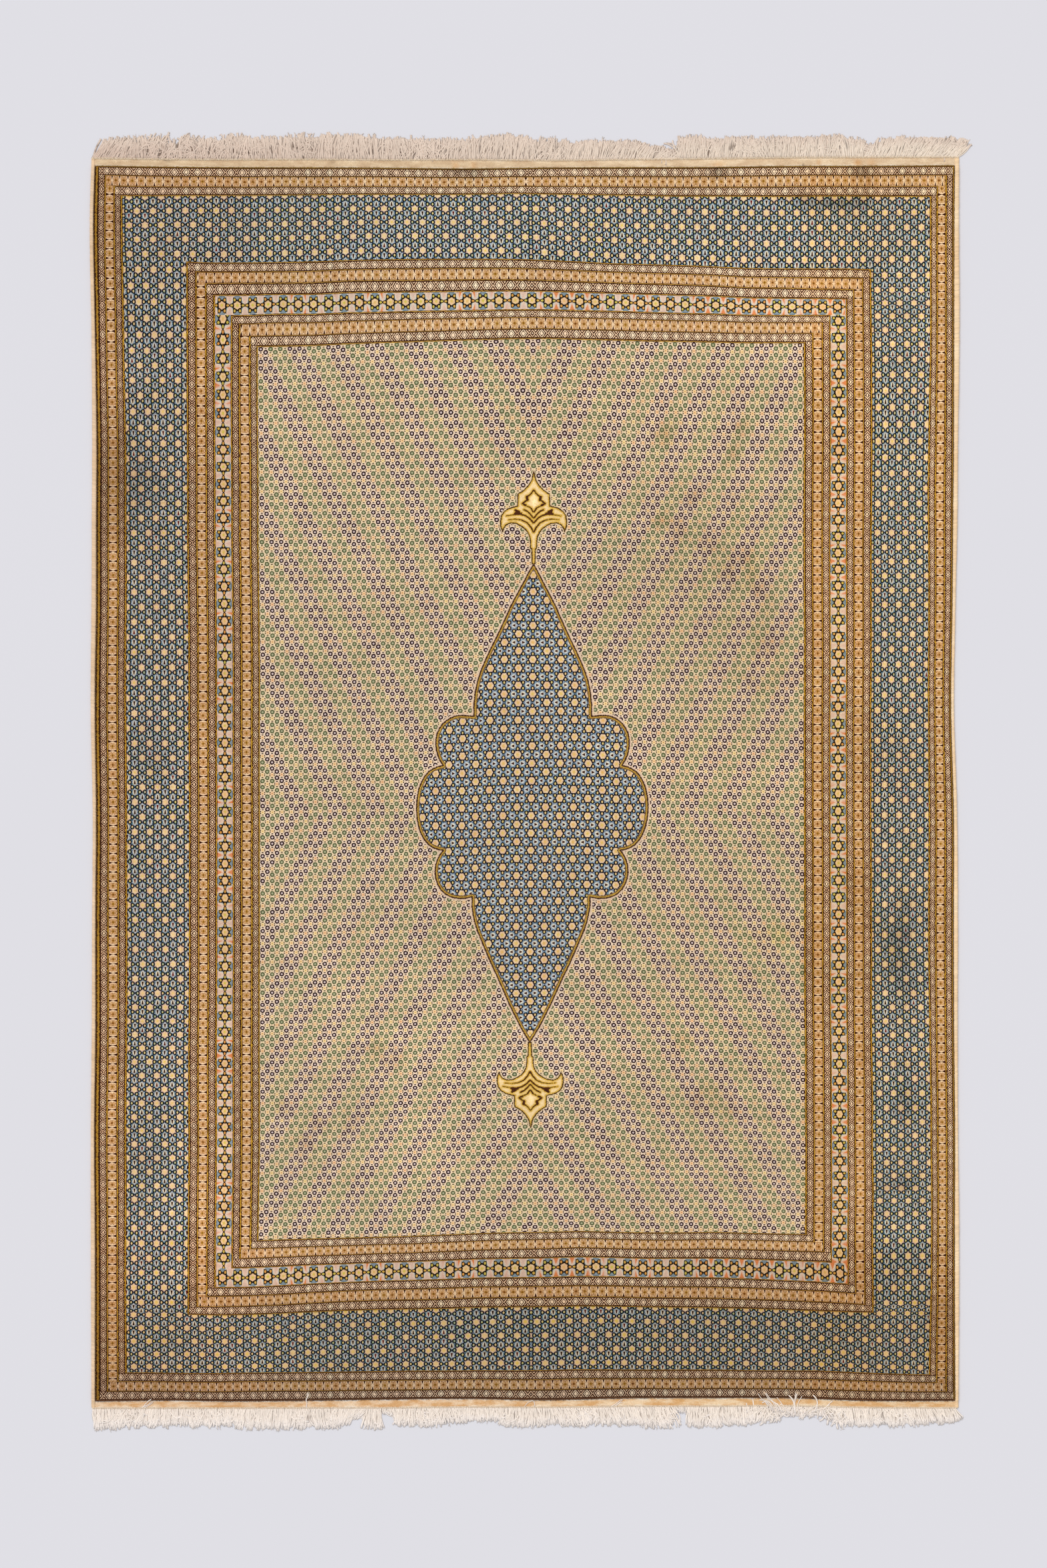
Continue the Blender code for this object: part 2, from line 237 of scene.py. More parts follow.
# How far each line across the rug bows away from straight, downwards (units).
# Columns: the line's row, the first station, the stations' spacing, the shifts.
ROW_BOWS = (
    (271.0, 170, 50, (-2.9, -1.3, -0.1, -0.6, 0.7, -0.5, 0.2, -0.2, -0.1, 0.4, 1.0, 0.8, -0.3,
                      -0.2, -0.9, -0.6, -0.2, -0.1, -0.4, -0.8, -1.6, -2.5, -2.2, -2.0, -2.4)),
    (290.0, 170, 50, (3.1, 3.0, 2.7, 2.4, 2.4, 2.1, 1.6, 0.9, 0.9, 1.0, 1.0, 0.6, -0.5,
                      0.3, 1.3, 1.9, 2.8, 3.7, 3.4, 3.9, 4.0, 3.4, 3.3, 3.8, 3.9)),
    (388.0, 220, 50, (3.4, 3.6, 5.6, 5.5, 4.8, 3.9, 2.0, 1.0, 0.0, -0.2, -0.2, 0.0, 1.7, 4.0, 6.8,
                      8.0, 9.4, 11.3, 13.9, 14.3, 14.4, 14.4, 16.0)),
    (420.0, 320, 50, (5.5, 5.1, 5.0, 4.5, 1.7, 1.0, 1.1, 0.4, -0.1, -0.1, 0.9, 3.0, 4.4, 5.9,
                      7.2, 9.1, 11.9, 12.5, 13.7, 14.6)),
    (455.0, 370, 50, (7.8, 5.2, 5.8, 3.8, 3.2, 1.8, 1.3, 0.5, -0.2, -0.1, 1.2, 2.3, 4.0, 5.6,
                      6.4, 8.6, 9.0, 8.8)),
    (502.0, 320, 50, (14.0, 11.9, 11.2, 10.2, 7.6, 5.9, 4.5, 2.8, 1.2, -0.2, -0.7, 0.7, 1.6,
                      3.1, 3.8, 4.9, 6.0, 5.9)),
    (570.0, 400, 60, (10.7, 9.1, 7.0, 5.0, 2.6, 1.4, 0.0, 0.4, 2.5, 4.4, 5.6, 6.2, 6.8, 6.9)),
    (640.0, 400, 60, (7.3, 6.0, 4.6, 3.3, 1.8, 1.0, -0.3, 0.7, 3.2, 5.1, 6.6, 7.6, 8.8, 9.3)),
    (700.0, 400, 60, (4.9, 3.9, 3.1, 1.6, 0.4, 0.2, -0.3, 0.7, 3.1, 4.5, 6.1, 7.8, 8.7, 9.4)),
    (790.0, 400, 60, (4.0, 3.3, 2.3, 1.3, 0.3, 0.0, 0.0, 0.3, 1.2, 2.0, 3.0, 4.4, 5.8, 6.6)),
    (900.0, 400, 60, (4.0, 3.0, 2.0, 1.0, 0.0, 0.0, 0.0, 0.0, 0.0, 0.3, 0.7, 1.5, 2.8, 4.2)),
    (1560.0, 400, 60, (4.6, 3.4, 2.0, 1.0, 0.0, 0.0, 0.0, 0.0, 0.0, 0.5, 1.0, 2.0, 3.2, 4.6)),
    (1660.0, 400, 60, (8.1, 7.0, 5.9, 4.5, 2.5, 1.3, 0.3, -0.6, 0.2, 3.4, 6.3, 7.0, 8.3, 10.3)),
    (1740.0, 400, 60, (7.8, 6.3, 4.9, 3.9, 2.2, 1.0, 0.4, 0.2, 1.4, 3.5, 5.6, 5.6, 7.1, 8.6)),
    (1800.0, 400, 60, (7.8, 6.6, 5.9, 5.4, 2.9, 1.0, -0.2, -0.3, -0.8, 0.6, 0.6, 0.3, 2.3, 3.4)),
    (1860.0, 370, 50, (13.4, 11.5, 9.8, 8.5, 6.7, 5.6, 3.4, 1.2, -0.2, -1.0, -2.7, -1.2, -0.1,
                       -0.1, -1.2, 0.2, 1.4, 2.6)),
    (1905.0, 370, 50, (14.6, 12.2, 9.4, 7.5, 5.2, 3.9, 2.4, 0.4, -0.1, -0.8, -2.3, -1.7, 0.1,
                       -0.4, -0.1, 1.5, 3.9, 6.0, 9.9)),
    (1940.0, 320, 50, (14.3, 13.2, 11.5, 8.3, 5.7, 4.1, 3.5, 2.2, 0.3, -0.1, -0.3, -1.4, -1.1,
                       0.3, 0.7, 1.1, 2.6, 4.3, 6.3, 9.1, 13.7)),
    (1962.0, 270, 50, (9.7, 11.6, 11.2, 9.3, 6.8, 5.2, 3.5, 2.9, 2.1, 0.3, -0.1, -0.2, -1.5,
                       -1.1, -0.1, 0.3, 1.1, 1.9, 3.7, 5.4, 7.0)),
    (2054.0, 170, 50, (3.4, 3.2, 4.0, 4.2, 3.5, 2.9, 2.6, 2.0, 1.2, 0.5, 0.5, -0.2, 0.2,
                       -0.4, -1.5, -1.2, -0.9, -1.0, -1.1, -0.2, 0.2, 0.3, 2.5, 4.6, 6.0)),
    (2075.0, 170, 50, (2.2, 2.2, 3.2, 3.7, 2.3, 1.7, 2.1, 1.3, 0.9, 0.6, 0.0, -0.5, 0.2, 0.1,
                       -1.4, -1.4, -1.8, -1.0, -1.8, -1.3, -1.2, -0.7, 1.1, 2.4, 3.5)),
)
PILE_ROWS = (251.0, 2097.4)        # the first and last rows of the pile
PILE_COLS = (142.8, 1429.2)        # the first and last columns of the pile

# How far each line along the rug wanders from straight, to the right (units).
COL_WANDERS = (
    (188.0, 310, 70, (-6.0, -5.5, -3.9, -3.1, -1.8, -0.3, -0.1, 0.0, 0.6, -0.1, -0.6, -0.2, 0.4,
                      0.9, 0.8, 1.4, 1.6, 1.3, 1.0, -0.1, -0.1, 0.3, -0.3, -0.5, 0.2, 1.0)),
    (282.0, 450, 70, (-3.0, -2.6, -2.4, -2.0, -1.7, -1.7, -0.8, 0.1, 0.3, 0.3, 1.0, 1.2, 1.2,
                      1.0, 1.2, 0.8, 0.1, 0.1, 0.4, -0.2, -0.8, -1.0)),
    (388.0, 380, 70, (-2.2, -1.9, -2.8, -2.8, -2.3, -1.7, -1.9, -0.8, 0.0, 0.6, 0.2, 0.0, 0.5,
                      0.0, 0.3, 0.2, 0.0, 0.0, 0.3, 0.3, -0.7, -1.9)),
    (AXIS, 250, 120, (-3.5, -1.6, -0.1, 1.3, 2.0, 1.3, 0.3, -0.8, -2.0, -2.0, -2.2, -3.2, -2.8,
                      -2.6, -2.5, -2.5)),
    (1204.0, 520, 70, (-0.4, 0.1, 0.0, -0.8, -0.8, -0.7, 0.1, 0.0, -0.3, -0.3, 0.0, 0.2, 0.3,
                       0.2, 0.4, 1.7, 1.4, 2.1, 1.9, 1.5)),
    (1305.0, 380, 70, (-0.8, -0.2, 0.8, 1.1, 1.3, 0.9, 0.1, 0.1, 0.3, 0.1, -0.8, -0.2, -0.5,
                       0.4, 0.4, 0.8, 0.3, 1.1, 2.4, 2.0, 3.4, 2.1, 3.1, 2.8)),
    (1390.0, 310, 70, (2.5, 2.6, 2.9, 2.8, 1.3, 0.1, -1.1, -0.1, 0.3, 0.0, -0.6, 0.0, 0.3, 0.7,
                       0.4, 0.0, 0.1, 1.1, 2.1, 3.3, 3.4, 4.5, 4.1, 3.6, 1.8, 0.7)),
)

# The bands of the drawing from the outside in: what each one is worked with, and
# the lines that it starts at on the four sides (its outer limits, units).
BAND_COLUMNS = ("motif", "left", "right", "top", "bottom")
BANDS = (
    ("edge", 142.8, 1429.2, 251.0, 2097.4),
    ("guard", 150.0, 1426.3, 252.6, 2095.2),
    ("line", 159.6, 1417.8, 264.6, 2082.6),
    ("tiles", 162.1, 1414.6, 265.6, 2081.4),
    ("line", 174.5, 1403.4, 278.5, 2067.8),
    ("guard", 177.4, 1400.4, 279.5, 2066.2),
    ("line", 186.0, 1392.8, 289.2, 2054.2),
    ("border", 189.6, 1389.8, 291.1, 2052.4),
    ("line", 281.5, 1305.6, 387.4, 1958.9),
    ("guard", 284.5, 1302.8, 389.4, 1957.1),
    ("line", 295.1, 1293.4, 401.3, 1944.6),
    ("tiles", 297.7, 1291.4, 403.1, 1943.1),
    ("line", 309.6, 1280.0, 418.1, 1928.6),
    ("guard", 312.3, 1277.7, 420.1, 1927.1),
    ("line", 321.8, 1269.0, 434.6, 1915.1),
    ("stars", 324.9, 1266.8, 437.0, 1913.3),
    ("line", 347.8, 1244.2, 463.1, 1886.3),
    ("guard", 350.6, 1242.0, 465.5, 1884.5),
    ("line", 359.6, 1233.0, 475.2, 1871.9),
    ("tiles", 362.9, 1230.6, 476.4, 1870.9),
    ("line", 375.2, 1218.7, 492.2, 1858.7),
    ("guard", 378.5, 1216.3, 493.2, 1857.7),
    ("line", 386.8, 1206.9, 506.2, 1847.8),
    ("field", 389.0, 1203.7, 508.6, 1846.0),
)
# One repeat of each motif in knots, along the ends and along the sides, and where
# a repeat is centred: knots from the axis on the ends, a row on the sides.
REPEATS = {
    "edge": (16.0, 0.0, 16.0, 1096.0),
    "line": (4.0, 0.0, 4.0, 1096.0),
    "guard": (16.0, 12.2, 18.5, 1096.3),
    "tiles": (12.0, 0.0, 14.1, 1087.0),
    "stars": (22.1, 0.0, 25.2, 1088.0),
}

# How far the knotted drawing strays from the counts above, to the right and downwards
# (units), since no two rows are beaten down alike. In the field, by row: the strays at
# columns 425 to 1181 in steps of 84.
FIELD_STRAY_COLUMNS = ("row", "right", "down")
FIELD_STRAYS = (
    (545, (0.2, 0.2, 0.1, -0.3, 0.5, 0.6, 0.1, -0.6, 0.0, 0.6),
     (0.3, 0.1, -0.1, 0.0, -0.1, -0.2, 0.2, 0.2, 0.1, -0.3)),
    (625, (0.6, 0.8, 0.1, -0.3, 0.4, 0.6, 0.4, 0.0, 0.6, 0.8),
     (0.9, 1.1, 1.3, 1.3, 0.9, 1.2, 1.7, 1.8, 1.8, 1.9)),
    (705, (0.6, 0.7, 0.0, -0.3, 0.1, -0.6, 0.2, 0.4, 0.6, 0.7),
     (1.2, 1.2, 1.1, 1.1, 1.1, 1.3, 1.5, 1.8, 2.0, 2.0)),
    (785, (0.8, 0.8, 0.1, -0.4, -0.2, -1.0, 0.9, 1.0, 0.8, 1.0),
     (1.7, 2.2, 2.3, 1.6, 0.7, 1.1, 1.9, 3.1, 3.3, 2.4)),
    (865, (0.7, 0.9, -0.1, -0.5, 0.1, -0.5, 1.8, 1.3, 1.2, 1.3),
     (2.3, 2.4, 2.2, 1.4, 0.2, 0.5, 1.8, 3.3, 3.5, 2.4)),
    (945, (0.5, 0.9, -0.2, -0.4, 0.2, 0.0, 3.0, 2.1, 1.7, 1.8),
     (3.2, 3.8, 3.6, 2.0, 0.1, 0.7, 2.2, 3.6, 3.0, 2.6)),
    (1025, (0.1, 0.6, -0.6, -0.5, 0.1, 0.9, 3.9, 2.9, 2.3, 2.2),
     (4.5, 4.6, 4.1, 2.0, 0.0, -0.4, 1.1, 2.4, 2.2, 2.2)),
    (1105, (0.0, 0.6, -0.5, -0.5, 0.1, 1.2, 4.6, 3.5, 3.0, 2.4),
     (4.9, 4.7, 4.6, 2.3, 0.0, -0.7, 0.6, 1.8, 1.9, 2.1)),
    (1185, (0.0, 0.7, -0.7, -0.9, -0.1, 0.5, 4.3, 4.1, 3.5, 2.7),
     (3.9, 3.5, 3.9, 2.9, 0.8, 0.6, 1.7, 1.7, 1.7, 2.0)),
    (1265, (0.2, 0.7, -0.6, -1.0, -0.5, -0.4, 4.0, 4.5, 3.8, 3.3),
     (3.7, 3.4, 4.2, 3.5, 1.4, 1.9, 3.0, 3.1, 2.9, 2.7)),
    (1345, (0.3, 0.6, -1.0, -1.3, -0.9, -1.4, 3.6, 4.6, 4.1, 3.4),
     (3.5, 3.4, 3.9, 2.8, 0.6, 0.7, 1.8, 2.6, 2.6, 2.5)),
    (1425, (0.2, 0.3, -1.4, -1.4, -1.3, -1.9, 2.3, 4.6, 4.3, 3.8),
     (3.9, 3.7, 3.7, 2.0, 0.4, -0.5, -0.9, 0.8, 1.0, 2.2)),
    (1505, (0.1, 0.2, -1.1, -0.9, -0.7, -0.7, 2.5, 4.3, 4.4, 3.5),
     (3.3, 2.6, 1.6, -0.1, -1.2, -2.7, -2.5, -1.6, -1.4, -0.2)),
    (1585, (0.1, 0.4, -0.9, -0.5, -0.3, -0.5, 2.5, 4.1, 4.2, 3.4),
     (-0.1, -0.4, -1.3, -2.7, -3.3, -4.2, -3.3, -2.4, -2.4, -1.9)),
    (1665, (0.2, 0.4, -1.4, -1.0, -0.3, -0.5, 1.9, 3.7, 4.3, 3.2),
     (-3.4, -3.5, -3.9, -4.1, -4.3, -4.7, -3.9, -3.3, -3.4, -3.5)),
    (1745, (0.0, 0.3, -1.9, -2.0, -0.9, -1.1, 0.9, 2.7, 3.9, 2.9),
     (-3.7, -3.8, -3.5, -3.6, -3.5, -3.7, -3.2, -2.9, -3.1, -3.3)),
    (1825, (-0.2, 0.0, -1.9, -2.4, -1.2, -1.7, 0.6, 2.1, 3.7, 3.0),
     (-2.7, -2.6, -1.7, -2.1, -2.8, -2.3, -2.8, -2.9, -2.9, -3.0)),
)
# In the broad border. On the ends, by row: at columns 205 to 1375 in steps of 90.
BORDER_END_COLUMNS = ("row", "right", "down")
BORDER_END_STRAYS = (
    (308, (1.9, 1.5, 1.0, 0.2, 0.8, 1.1, 1.1, -2.1, -3.8, -4.6, -3.0, -3.2, -3.1, -3.3),
     (1.1, 0.5, 0.1, 0.1, -0.1, 0.3, 0.2, 0.5, 0.4, 0.4, 1.0, 1.2, 1.1, 0.2)),
    (340, (1.9, 1.5, 1.0, 0.2, 0.8, 1.1, 1.1, -2.1, -3.8, -4.6, -3.0, -3.2, -3.1, -3.3),
     (0.6, -0.6, -1.6, -1.9, -2.5, -1.8, -0.9, 0.1, -0.3, -0.1, -0.4, -0.4, -0.9, -2.3)),
    (372, (1.9, 1.5, 1.0, 0.2, 0.8, 1.1, 1.1, -2.1, -3.8, -4.6, -3.0, -3.2, -3.1, -3.3),
     (-0.6, -1.6, -2.9, -3.4, -3.9, -3.2, -2.6, -1.3, -1.3, -0.6, -1.4, -1.7, -2.3, -3.8)),
    (1975, (3.4, 1.8, 1.0, 1.4, -0.5, -1.7, 1.2, -0.2, -0.8, -0.4, -0.6, -2.1, -3.9, -4.0),
     (-4.0, -3.6, -3.5, -3.6, -3.4, -3.8, -3.9, -4.1, -4.5, -4.1, -4.0, -4.2, -3.4, -4.2)),
    (2005, (3.4, 1.8, 1.0, 1.4, -0.5, -1.7, 1.2, -0.2, -0.8, -0.4, -0.6, -2.1, -3.9, -4.0),
     (-2.2, -3.0, -3.5, -4.1, -3.4, -3.3, -3.8, -3.6, -3.7, -3.4, -3.2, -3.4, -3.2, -2.9)),
    (2035, (3.4, 1.8, 1.0, 1.4, -0.5, -1.7, 1.2, -0.2, -0.8, -0.4, -0.6, -2.1, -3.9, -4.0),
     (-1.3, -1.8, -2.1, -2.3, -1.9, -2.0, -2.5, -2.2, -2.2, -2.1, -2.2, -2.0, -1.8, -1.8)),
)
# On the sides: at rows 400 to 1900 in steps of 60.
BORDER_SIDE_STRAYS = {
    "left_right": (1.9, 2.2, 2.5, 2.6, 2.6, 2.8, 2.4, 3.0, 2.6, 2.9, 3.1, 3.5, 3.4, 3.3, 3.0,
                   3.0, 3.2, 3.3, 3.2, 3.1, 2.8, 3.1, 3.5, 3.2, 3.2, 3.1),
    "left_down": (-1.1, -2.0, -3.6, -2.8, 0.2, 0.0, -1.2, -1.2, -0.7, 0.8, 2.2, 3.7, 3.8, 2.2,
                  2.4, 2.2, 1.1, 1.1, 1.3, -0.7, -3.4, -6.0, -7.1, -6.6, -8.9, -8.3),
    "right_right": (-4.0, -3.7, -3.7, -3.5, -3.7, -4.1, -4.0, -4.0, -3.8, -4.0, -4.0, -3.5,
                    -3.4, -3.8, -3.3, -3.8, -3.9, -4.0, -3.4, -3.1, -3.0, -3.3, -3.1, -3.8,
                    -3.4, -3.7),
    "right_down": (-4.3, -3.8, -6.1, -6.9, -6.3, -5.3, -4.3, -4.0, -4.1, -3.5, -2.4, -1.2,
                   -0.9, -1.5, -0.3, -0.3, 0.3, 1.6, 1.0, -0.6, -0.6, -1.0, -1.0, -0.8, -2.6,
                   -3.9),
}
# Of the tiles and stars, along their own bands: the band's first limit at the top, its
# side, the first station, the stations' spacing, and the strays.
BAND_STRAY_COLUMNS = ("top", "side", "first", "step", "along")
BAND_STRAYS = (
    (265.6, "top", 215, 90, (-1.9, -1.0, -0.4, -0.6, 0.3, 1.0, 1.1, -5.3, -5.9, -5.9, -3.7, -3.2,
                             -2.9)),
    (403.1, "top", 395, 90, (-1.9, -1.9, -1.4, -1.2, -0.9, -0.5, -1.0, -1.5, -2.0, -2.5)),
    (437.0, "top", 395, 90, (0.7, 0.5, 0.7, 0.3, 0.1, -0.9, -2.4, -3.1, -2.1, -1.3)),
    (476.4, "top", 575, 90, (1.0, 0.8, 1.0, -1.1, -2.2, -3.0, -2.1, -0.9)),
    (265.6, "bottom", 215, 90, (1.6, -0.3, 0.3, 0.2, -1.2, -0.8, 2.3, -2.0, -3.0, -1.5, -1.2,
                                -2.1, -4.0)),
    (403.1, "bottom", 395, 90, (0.0, -0.6, -2.6, -3.0, 0.5, 1.1, 2.0, 3.2, 3.5, 1.6)),
    (437.0, "bottom", 395, 90, (0.5, 1.3, -0.3, -0.7, 1.1, 0.3, 1.0, 1.4, 1.4, 0.0)),
    (476.4, "bottom", 395, 90, (-1.3, 0.8, -0.1, -0.8, 1.2, -1.1, 0.6, 2.1, 2.9)),
    (265.6, "left", 300, 100, (2.3, -0.9, -1.6, -3.9, -0.8, -3.2, -3.2, -2.5, -1.4, -3.6, -4.9,
                               -8.0, -8.8, -9.0, -9.0, -9.0)),
    (403.1, "left", 460, 100, (-3.7, -6.3, -4.5, -5.8, -6.5, -5.4, -4.8, -6.0, -7.0, -8.0, -8.7,
                               -8.5, -7.5, -6.5)),
    (437.0, "left", 460, 100, (-26.0, -18.7, -13.6, -13.6, -11.8, -8.0, -5.2, -4.6, -2.2, -0.7,
                               1.5, 0.9, -3.0, -2.3)),
    (476.4, "left", 520, 100, (-8.1, -6.8, -7.9, -8.8, -7.8, -6.8, -7.0, -9.2, -9.2, -9.8, -9.6,
                               -9.0, -8.6)),
    (265.6, "right", 300, 100, (15.7, 10.2, 7.6, 4.8, 3.0, 3.2, 3.0, 4.1, 4.4, 2.4, 1.6, 1.2,
                                0.3, 1.0, 0.6, -0.4)),
    (403.1, "right", 460, 100, (7.0, 2.2, 2.2, 2.9, 1.9, 2.0, 2.5, 2.0, 2.5, 2.0, 0.6, -1.4,
                                -3.7, -5.4)),
    (437.0, "right", 460, 100, (-20.0, -18.0, -16.4, -13.9, -13.2, -10.5, -8.4, -6.3, -3.2,
                                -1.4, -0.8, -0.5, -0.2, 0.1)),
    (476.4, "right", 520, 100, (1.0, 2.8, 2.9, 2.4, 2.0, 1.7, 1.1, 0.6, 0.1, -0.9, -3.6, -6.1,
                                -7.2)),
)

# The medallion and its two pendants: half outlines, as offsets from the axis and
# rows, from the top tip down. The axis of the shapes leans a little.
SHAPE_AXIS = (
    (700, 799.5), (846, 799.0), (960, 798.2), (1073, 797.8), (1210, 797.2), (1310, 796.0),
    (1380, 794.8), (1561, 793.4), (1600, 793.8), (1690, 794.8),
)
MEDALLION = (
    (0.0, 845.0), (0.9, 846.6), (6.5, 856.0), (12.0, 867.0), (20.0, 882.0), (27.5, 896.0),
    (34.6, 910.0), (41.5, 926.0), (48.4, 941.0), (55.0, 955.0), (60.5, 966.0), (69.5, 985.0),
    (77.5, 1004.0), (82.8, 1020.0), (86.4, 1038.0), (88.2, 1056.0), (88.0, 1073.0),
    (95.0, 1072.4), (101.5, 1071.8), (109.5, 1071.6), (117.0, 1073.0), (124.0, 1076.0),
    (129.5, 1079.5), (135.0, 1084.5), (139.3, 1090.5), (143.0, 1098.5), (144.7, 1107.0),
    (145.0, 1117.0), (143.6, 1126.0), (141.4, 1133.0), (138.4, 1140.0), (134.0, 1146.6),
    (142.0, 1148.6), (149.0, 1151.6), (155.0, 1155.6), (160.5, 1161.5), (165.5, 1170.0),
    (169.5, 1180.0), (172.0, 1191.0), (173.3, 1203.0), (173.4, 1215.0), (172.2, 1228.0),
    (169.6, 1240.0), (165.8, 1250.0), (160.5, 1259.0), (154.0, 1266.0), (146.5, 1270.6),
    (139.0, 1273.0), (132.6, 1273.8), (137.0, 1279.5), (141.0, 1287.0), (143.8, 1296.0),
    (144.6, 1306.0), (143.4, 1316.0), (140.4, 1325.0), (135.6, 1333.0), (128.6, 1339.6),
    (119.6, 1344.0), (109.6, 1346.0), (99.0, 1346.0), (88.2, 1343.6), (88.6, 1356.0),
    (86.8, 1368.0), (84.2, 1381.0), (80.0, 1394.0), (75.4, 1405.0), (66.6, 1426.0),
    (57.8, 1446.0), (49.2, 1464.0), (40.0, 1484.5), (31.0, 1505.0), (22.6, 1522.0),
    (14.4, 1538.0), (7.4, 1550.0), (1.0, 1560.4), (0.0, 1562.0),
)
# Offsets from the axis and rows down from the tip; the lower one is the same shape
# turned over, beaten down to 0.92 of its height.
PENDANT = (
    (0.0, -3.0), (0.8, 0.0), (2.9, 10.0), (7.8, 18.2), (13.4, 24.2), (19.0, 28.4),
    (23.6, 31.0), (23.9, 40.0), (24.0, 49.0), (29.5, 50.4), (37.8, 52.8), (44.4, 57.6),
    (48.2, 63.6), (49.6, 71.6), (49.2, 80.0), (46.2, 87.5), (45.2, 83.0), (41.2, 77.2),
    (34.5, 74.4), (26.2, 75.2), (19.4, 78.6), (12.8, 83.6), (8.8, 88.6), (5.9, 95.0),
    (4.8, 103.0), (4.6, 112.5), (2.6, 113.4), (2.2, 136.0), (0.0, 136.0),
)
# Brown lines inside a pendant: offset and row of each end, and the stroke's width.
PENDANT_LINES = (
    (0.4, 25.0, 3.4, 30.0, 1.5), (3.4, 30.0, 7.0, 33.4, 1.7), (7.0, 33.4, 11.4, 35.2, 2.0),
    (10.4, 36.0, 9.4, 39.8, 3.6), (9.4, 39.8, 13.2, 42.4, 1.7), (13.2, 42.4, 17.0, 45.6, 2.2),
    (15.4, 46.6, 11.8, 47.6, 2.4),
    (0.6, 58.0, 4.0, 52.4, 1.9), (4.0, 52.4, 8.6, 49.6, 1.5), (8.6, 49.6, 13.6, 48.6, 1.0),
    (0.6, 67.0, 4.5, 61.8, 1.9), (4.5, 61.8, 9.4, 57.2, 1.9), (9.4, 57.2, 14.6, 54.6, 2.0),
    (19.0, 60.6, 28.2, 61.0, 3.4), (22.0, 58.0, 27.4, 55.2, 3.2), (22.0, 59.6, 26.0, 58.0, 3.6),
    (0.6, 74.0, 6.0, 67.8, 2.1), (6.0, 67.8, 12.6, 63.4, 2.1), (12.6, 63.4, 19.3, 61.6, 2.1),
    (28.0, 61.8, 41.0, 64.0, 1.0),
    (0.6, 88.0, 3.5, 81.6, 1.9), (3.5, 81.6, 9.3, 74.4, 1.9), (9.3, 74.4, 17.6, 70.2, 1.6),
    (17.6, 70.2, 27.6, 68.6, 1.2), (27.6, 68.6, 38.0, 69.8, 0.8),
)
PENDANTS = (("upper", 709.0, 1.0), ("lower", 1686.5, -0.92))   # tip row, height scale


# ----------------------------------------------------------------------------
# From the drawing to the rug
# ----------------------------------------------------------------------------
def along(first, step, values, at):
    """A row of evenly spaced values, read at any station."""
    return np.interp(at, first + step * np.arange(len(values)), values)


def knots(density, origin):
    """Knots counted from origin as a function of a length along the drawing."""
    at = np.arange(100.0, 2201.0)
    rate = 1.0 / np.interp(at, [d[0] for d in density], [d[1] for d in density])
    count = np.concatenate([[0.0], np.cumsum((rate[1:] + rate[:-1]) / 2)])
    return lambda x: np.interp(x, at, count) - np.interp(origin, at, count)


column_knots = knots(COLUMN_DENSITY, AXIS)
row_knots = knots(ROW_DENSITY, 251.0)


def bow(rows, cols):
    """How far the drawing's rows lie below straight, on a grid of rows and cols."""
    lines = [(PILE_ROWS[0], np.array([to_row(pile_top(to_x(c))) - PILE_ROWS[0] for c in cols]))]
    lines += [(row, along(first, step, shifts, cols)) for row, first, step, shifts in ROW_BOWS]
    lines.append((PILE_ROWS[1],
                  np.array([to_row(pile_bottom(to_x(c))) - PILE_ROWS[1] for c in cols])))
    stations = np.array([line[0] for line in lines])
    shifts = np.array([line[1] for line in lines])
    k = np.clip(np.searchsorted(stations, rows) - 1, 0, len(stations) - 2)
    t = np.clip((rows - stations[k]) / (stations[k + 1] - stations[k]), 0, 1)[:, None]
    return shifts[k] * (1 - t) + shifts[k + 1] * t


def wander(rows, cols):
    """How far the drawing's columns lie right of straight, on a grid of rows and cols."""
    lines = [(PILE_COLS[0], np.array([to_col(pile_left(to_y(r))) - PILE_COLS[0] for r in rows]))]
    lines += [(col, along(first, step, shifts, rows)) for col, first, step, shifts in COL_WANDERS]
    lines.append((PILE_COLS[1],
                  np.array([to_col(pile_right(to_y(r))) - PILE_COLS[1] for r in rows])))
    stations = np.array([line[0] for line in lines])
    shifts = np.array([line[1] for line in lines]).T
    k = np.clip(np.searchsorted(stations, cols) - 1, 0, len(stations) - 2)
    t = np.clip((cols - stations[k]) / (stations[k + 1] - stations[k]), 0, 1)[None, :]
    return shifts[:, k] * (1 - t) + shifts[:, k + 1] * t


def axis_at(row):
    return np.interp(row, [a[0] for a in SHAPE_AXIS], [a[1] for a in SHAPE_AXIS])


def stray_table(table, first, step, rows, cols):
    """Strays to the right and downwards at each row and column, from a table by rows."""
    stations = np.array([line[0] for line in table], float)
    k = np.clip(np.searchsorted(stations, rows) - 1, 0, len(stations) - 2)
    t = np.clip((rows - stations[k]) / (stations[k + 1] - stations[k]), 0, 1)
    out = []
    for n in (1, 2):
        values = np.array([line[n] for line in table])
        u = np.clip((cols - first) / step, 0, values.shape[1] - 1.001)
        j = u.astype(int)
        s = u - j
        s = s * s * (3 - 2 * s)
        out.append((values[k, j] * (1 - s) + values[k, j + 1] * s) * (1 - t)
                   + (values[k + 1, j] * (1 - s) + values[k + 1, j + 1] * s) * t)
    return out


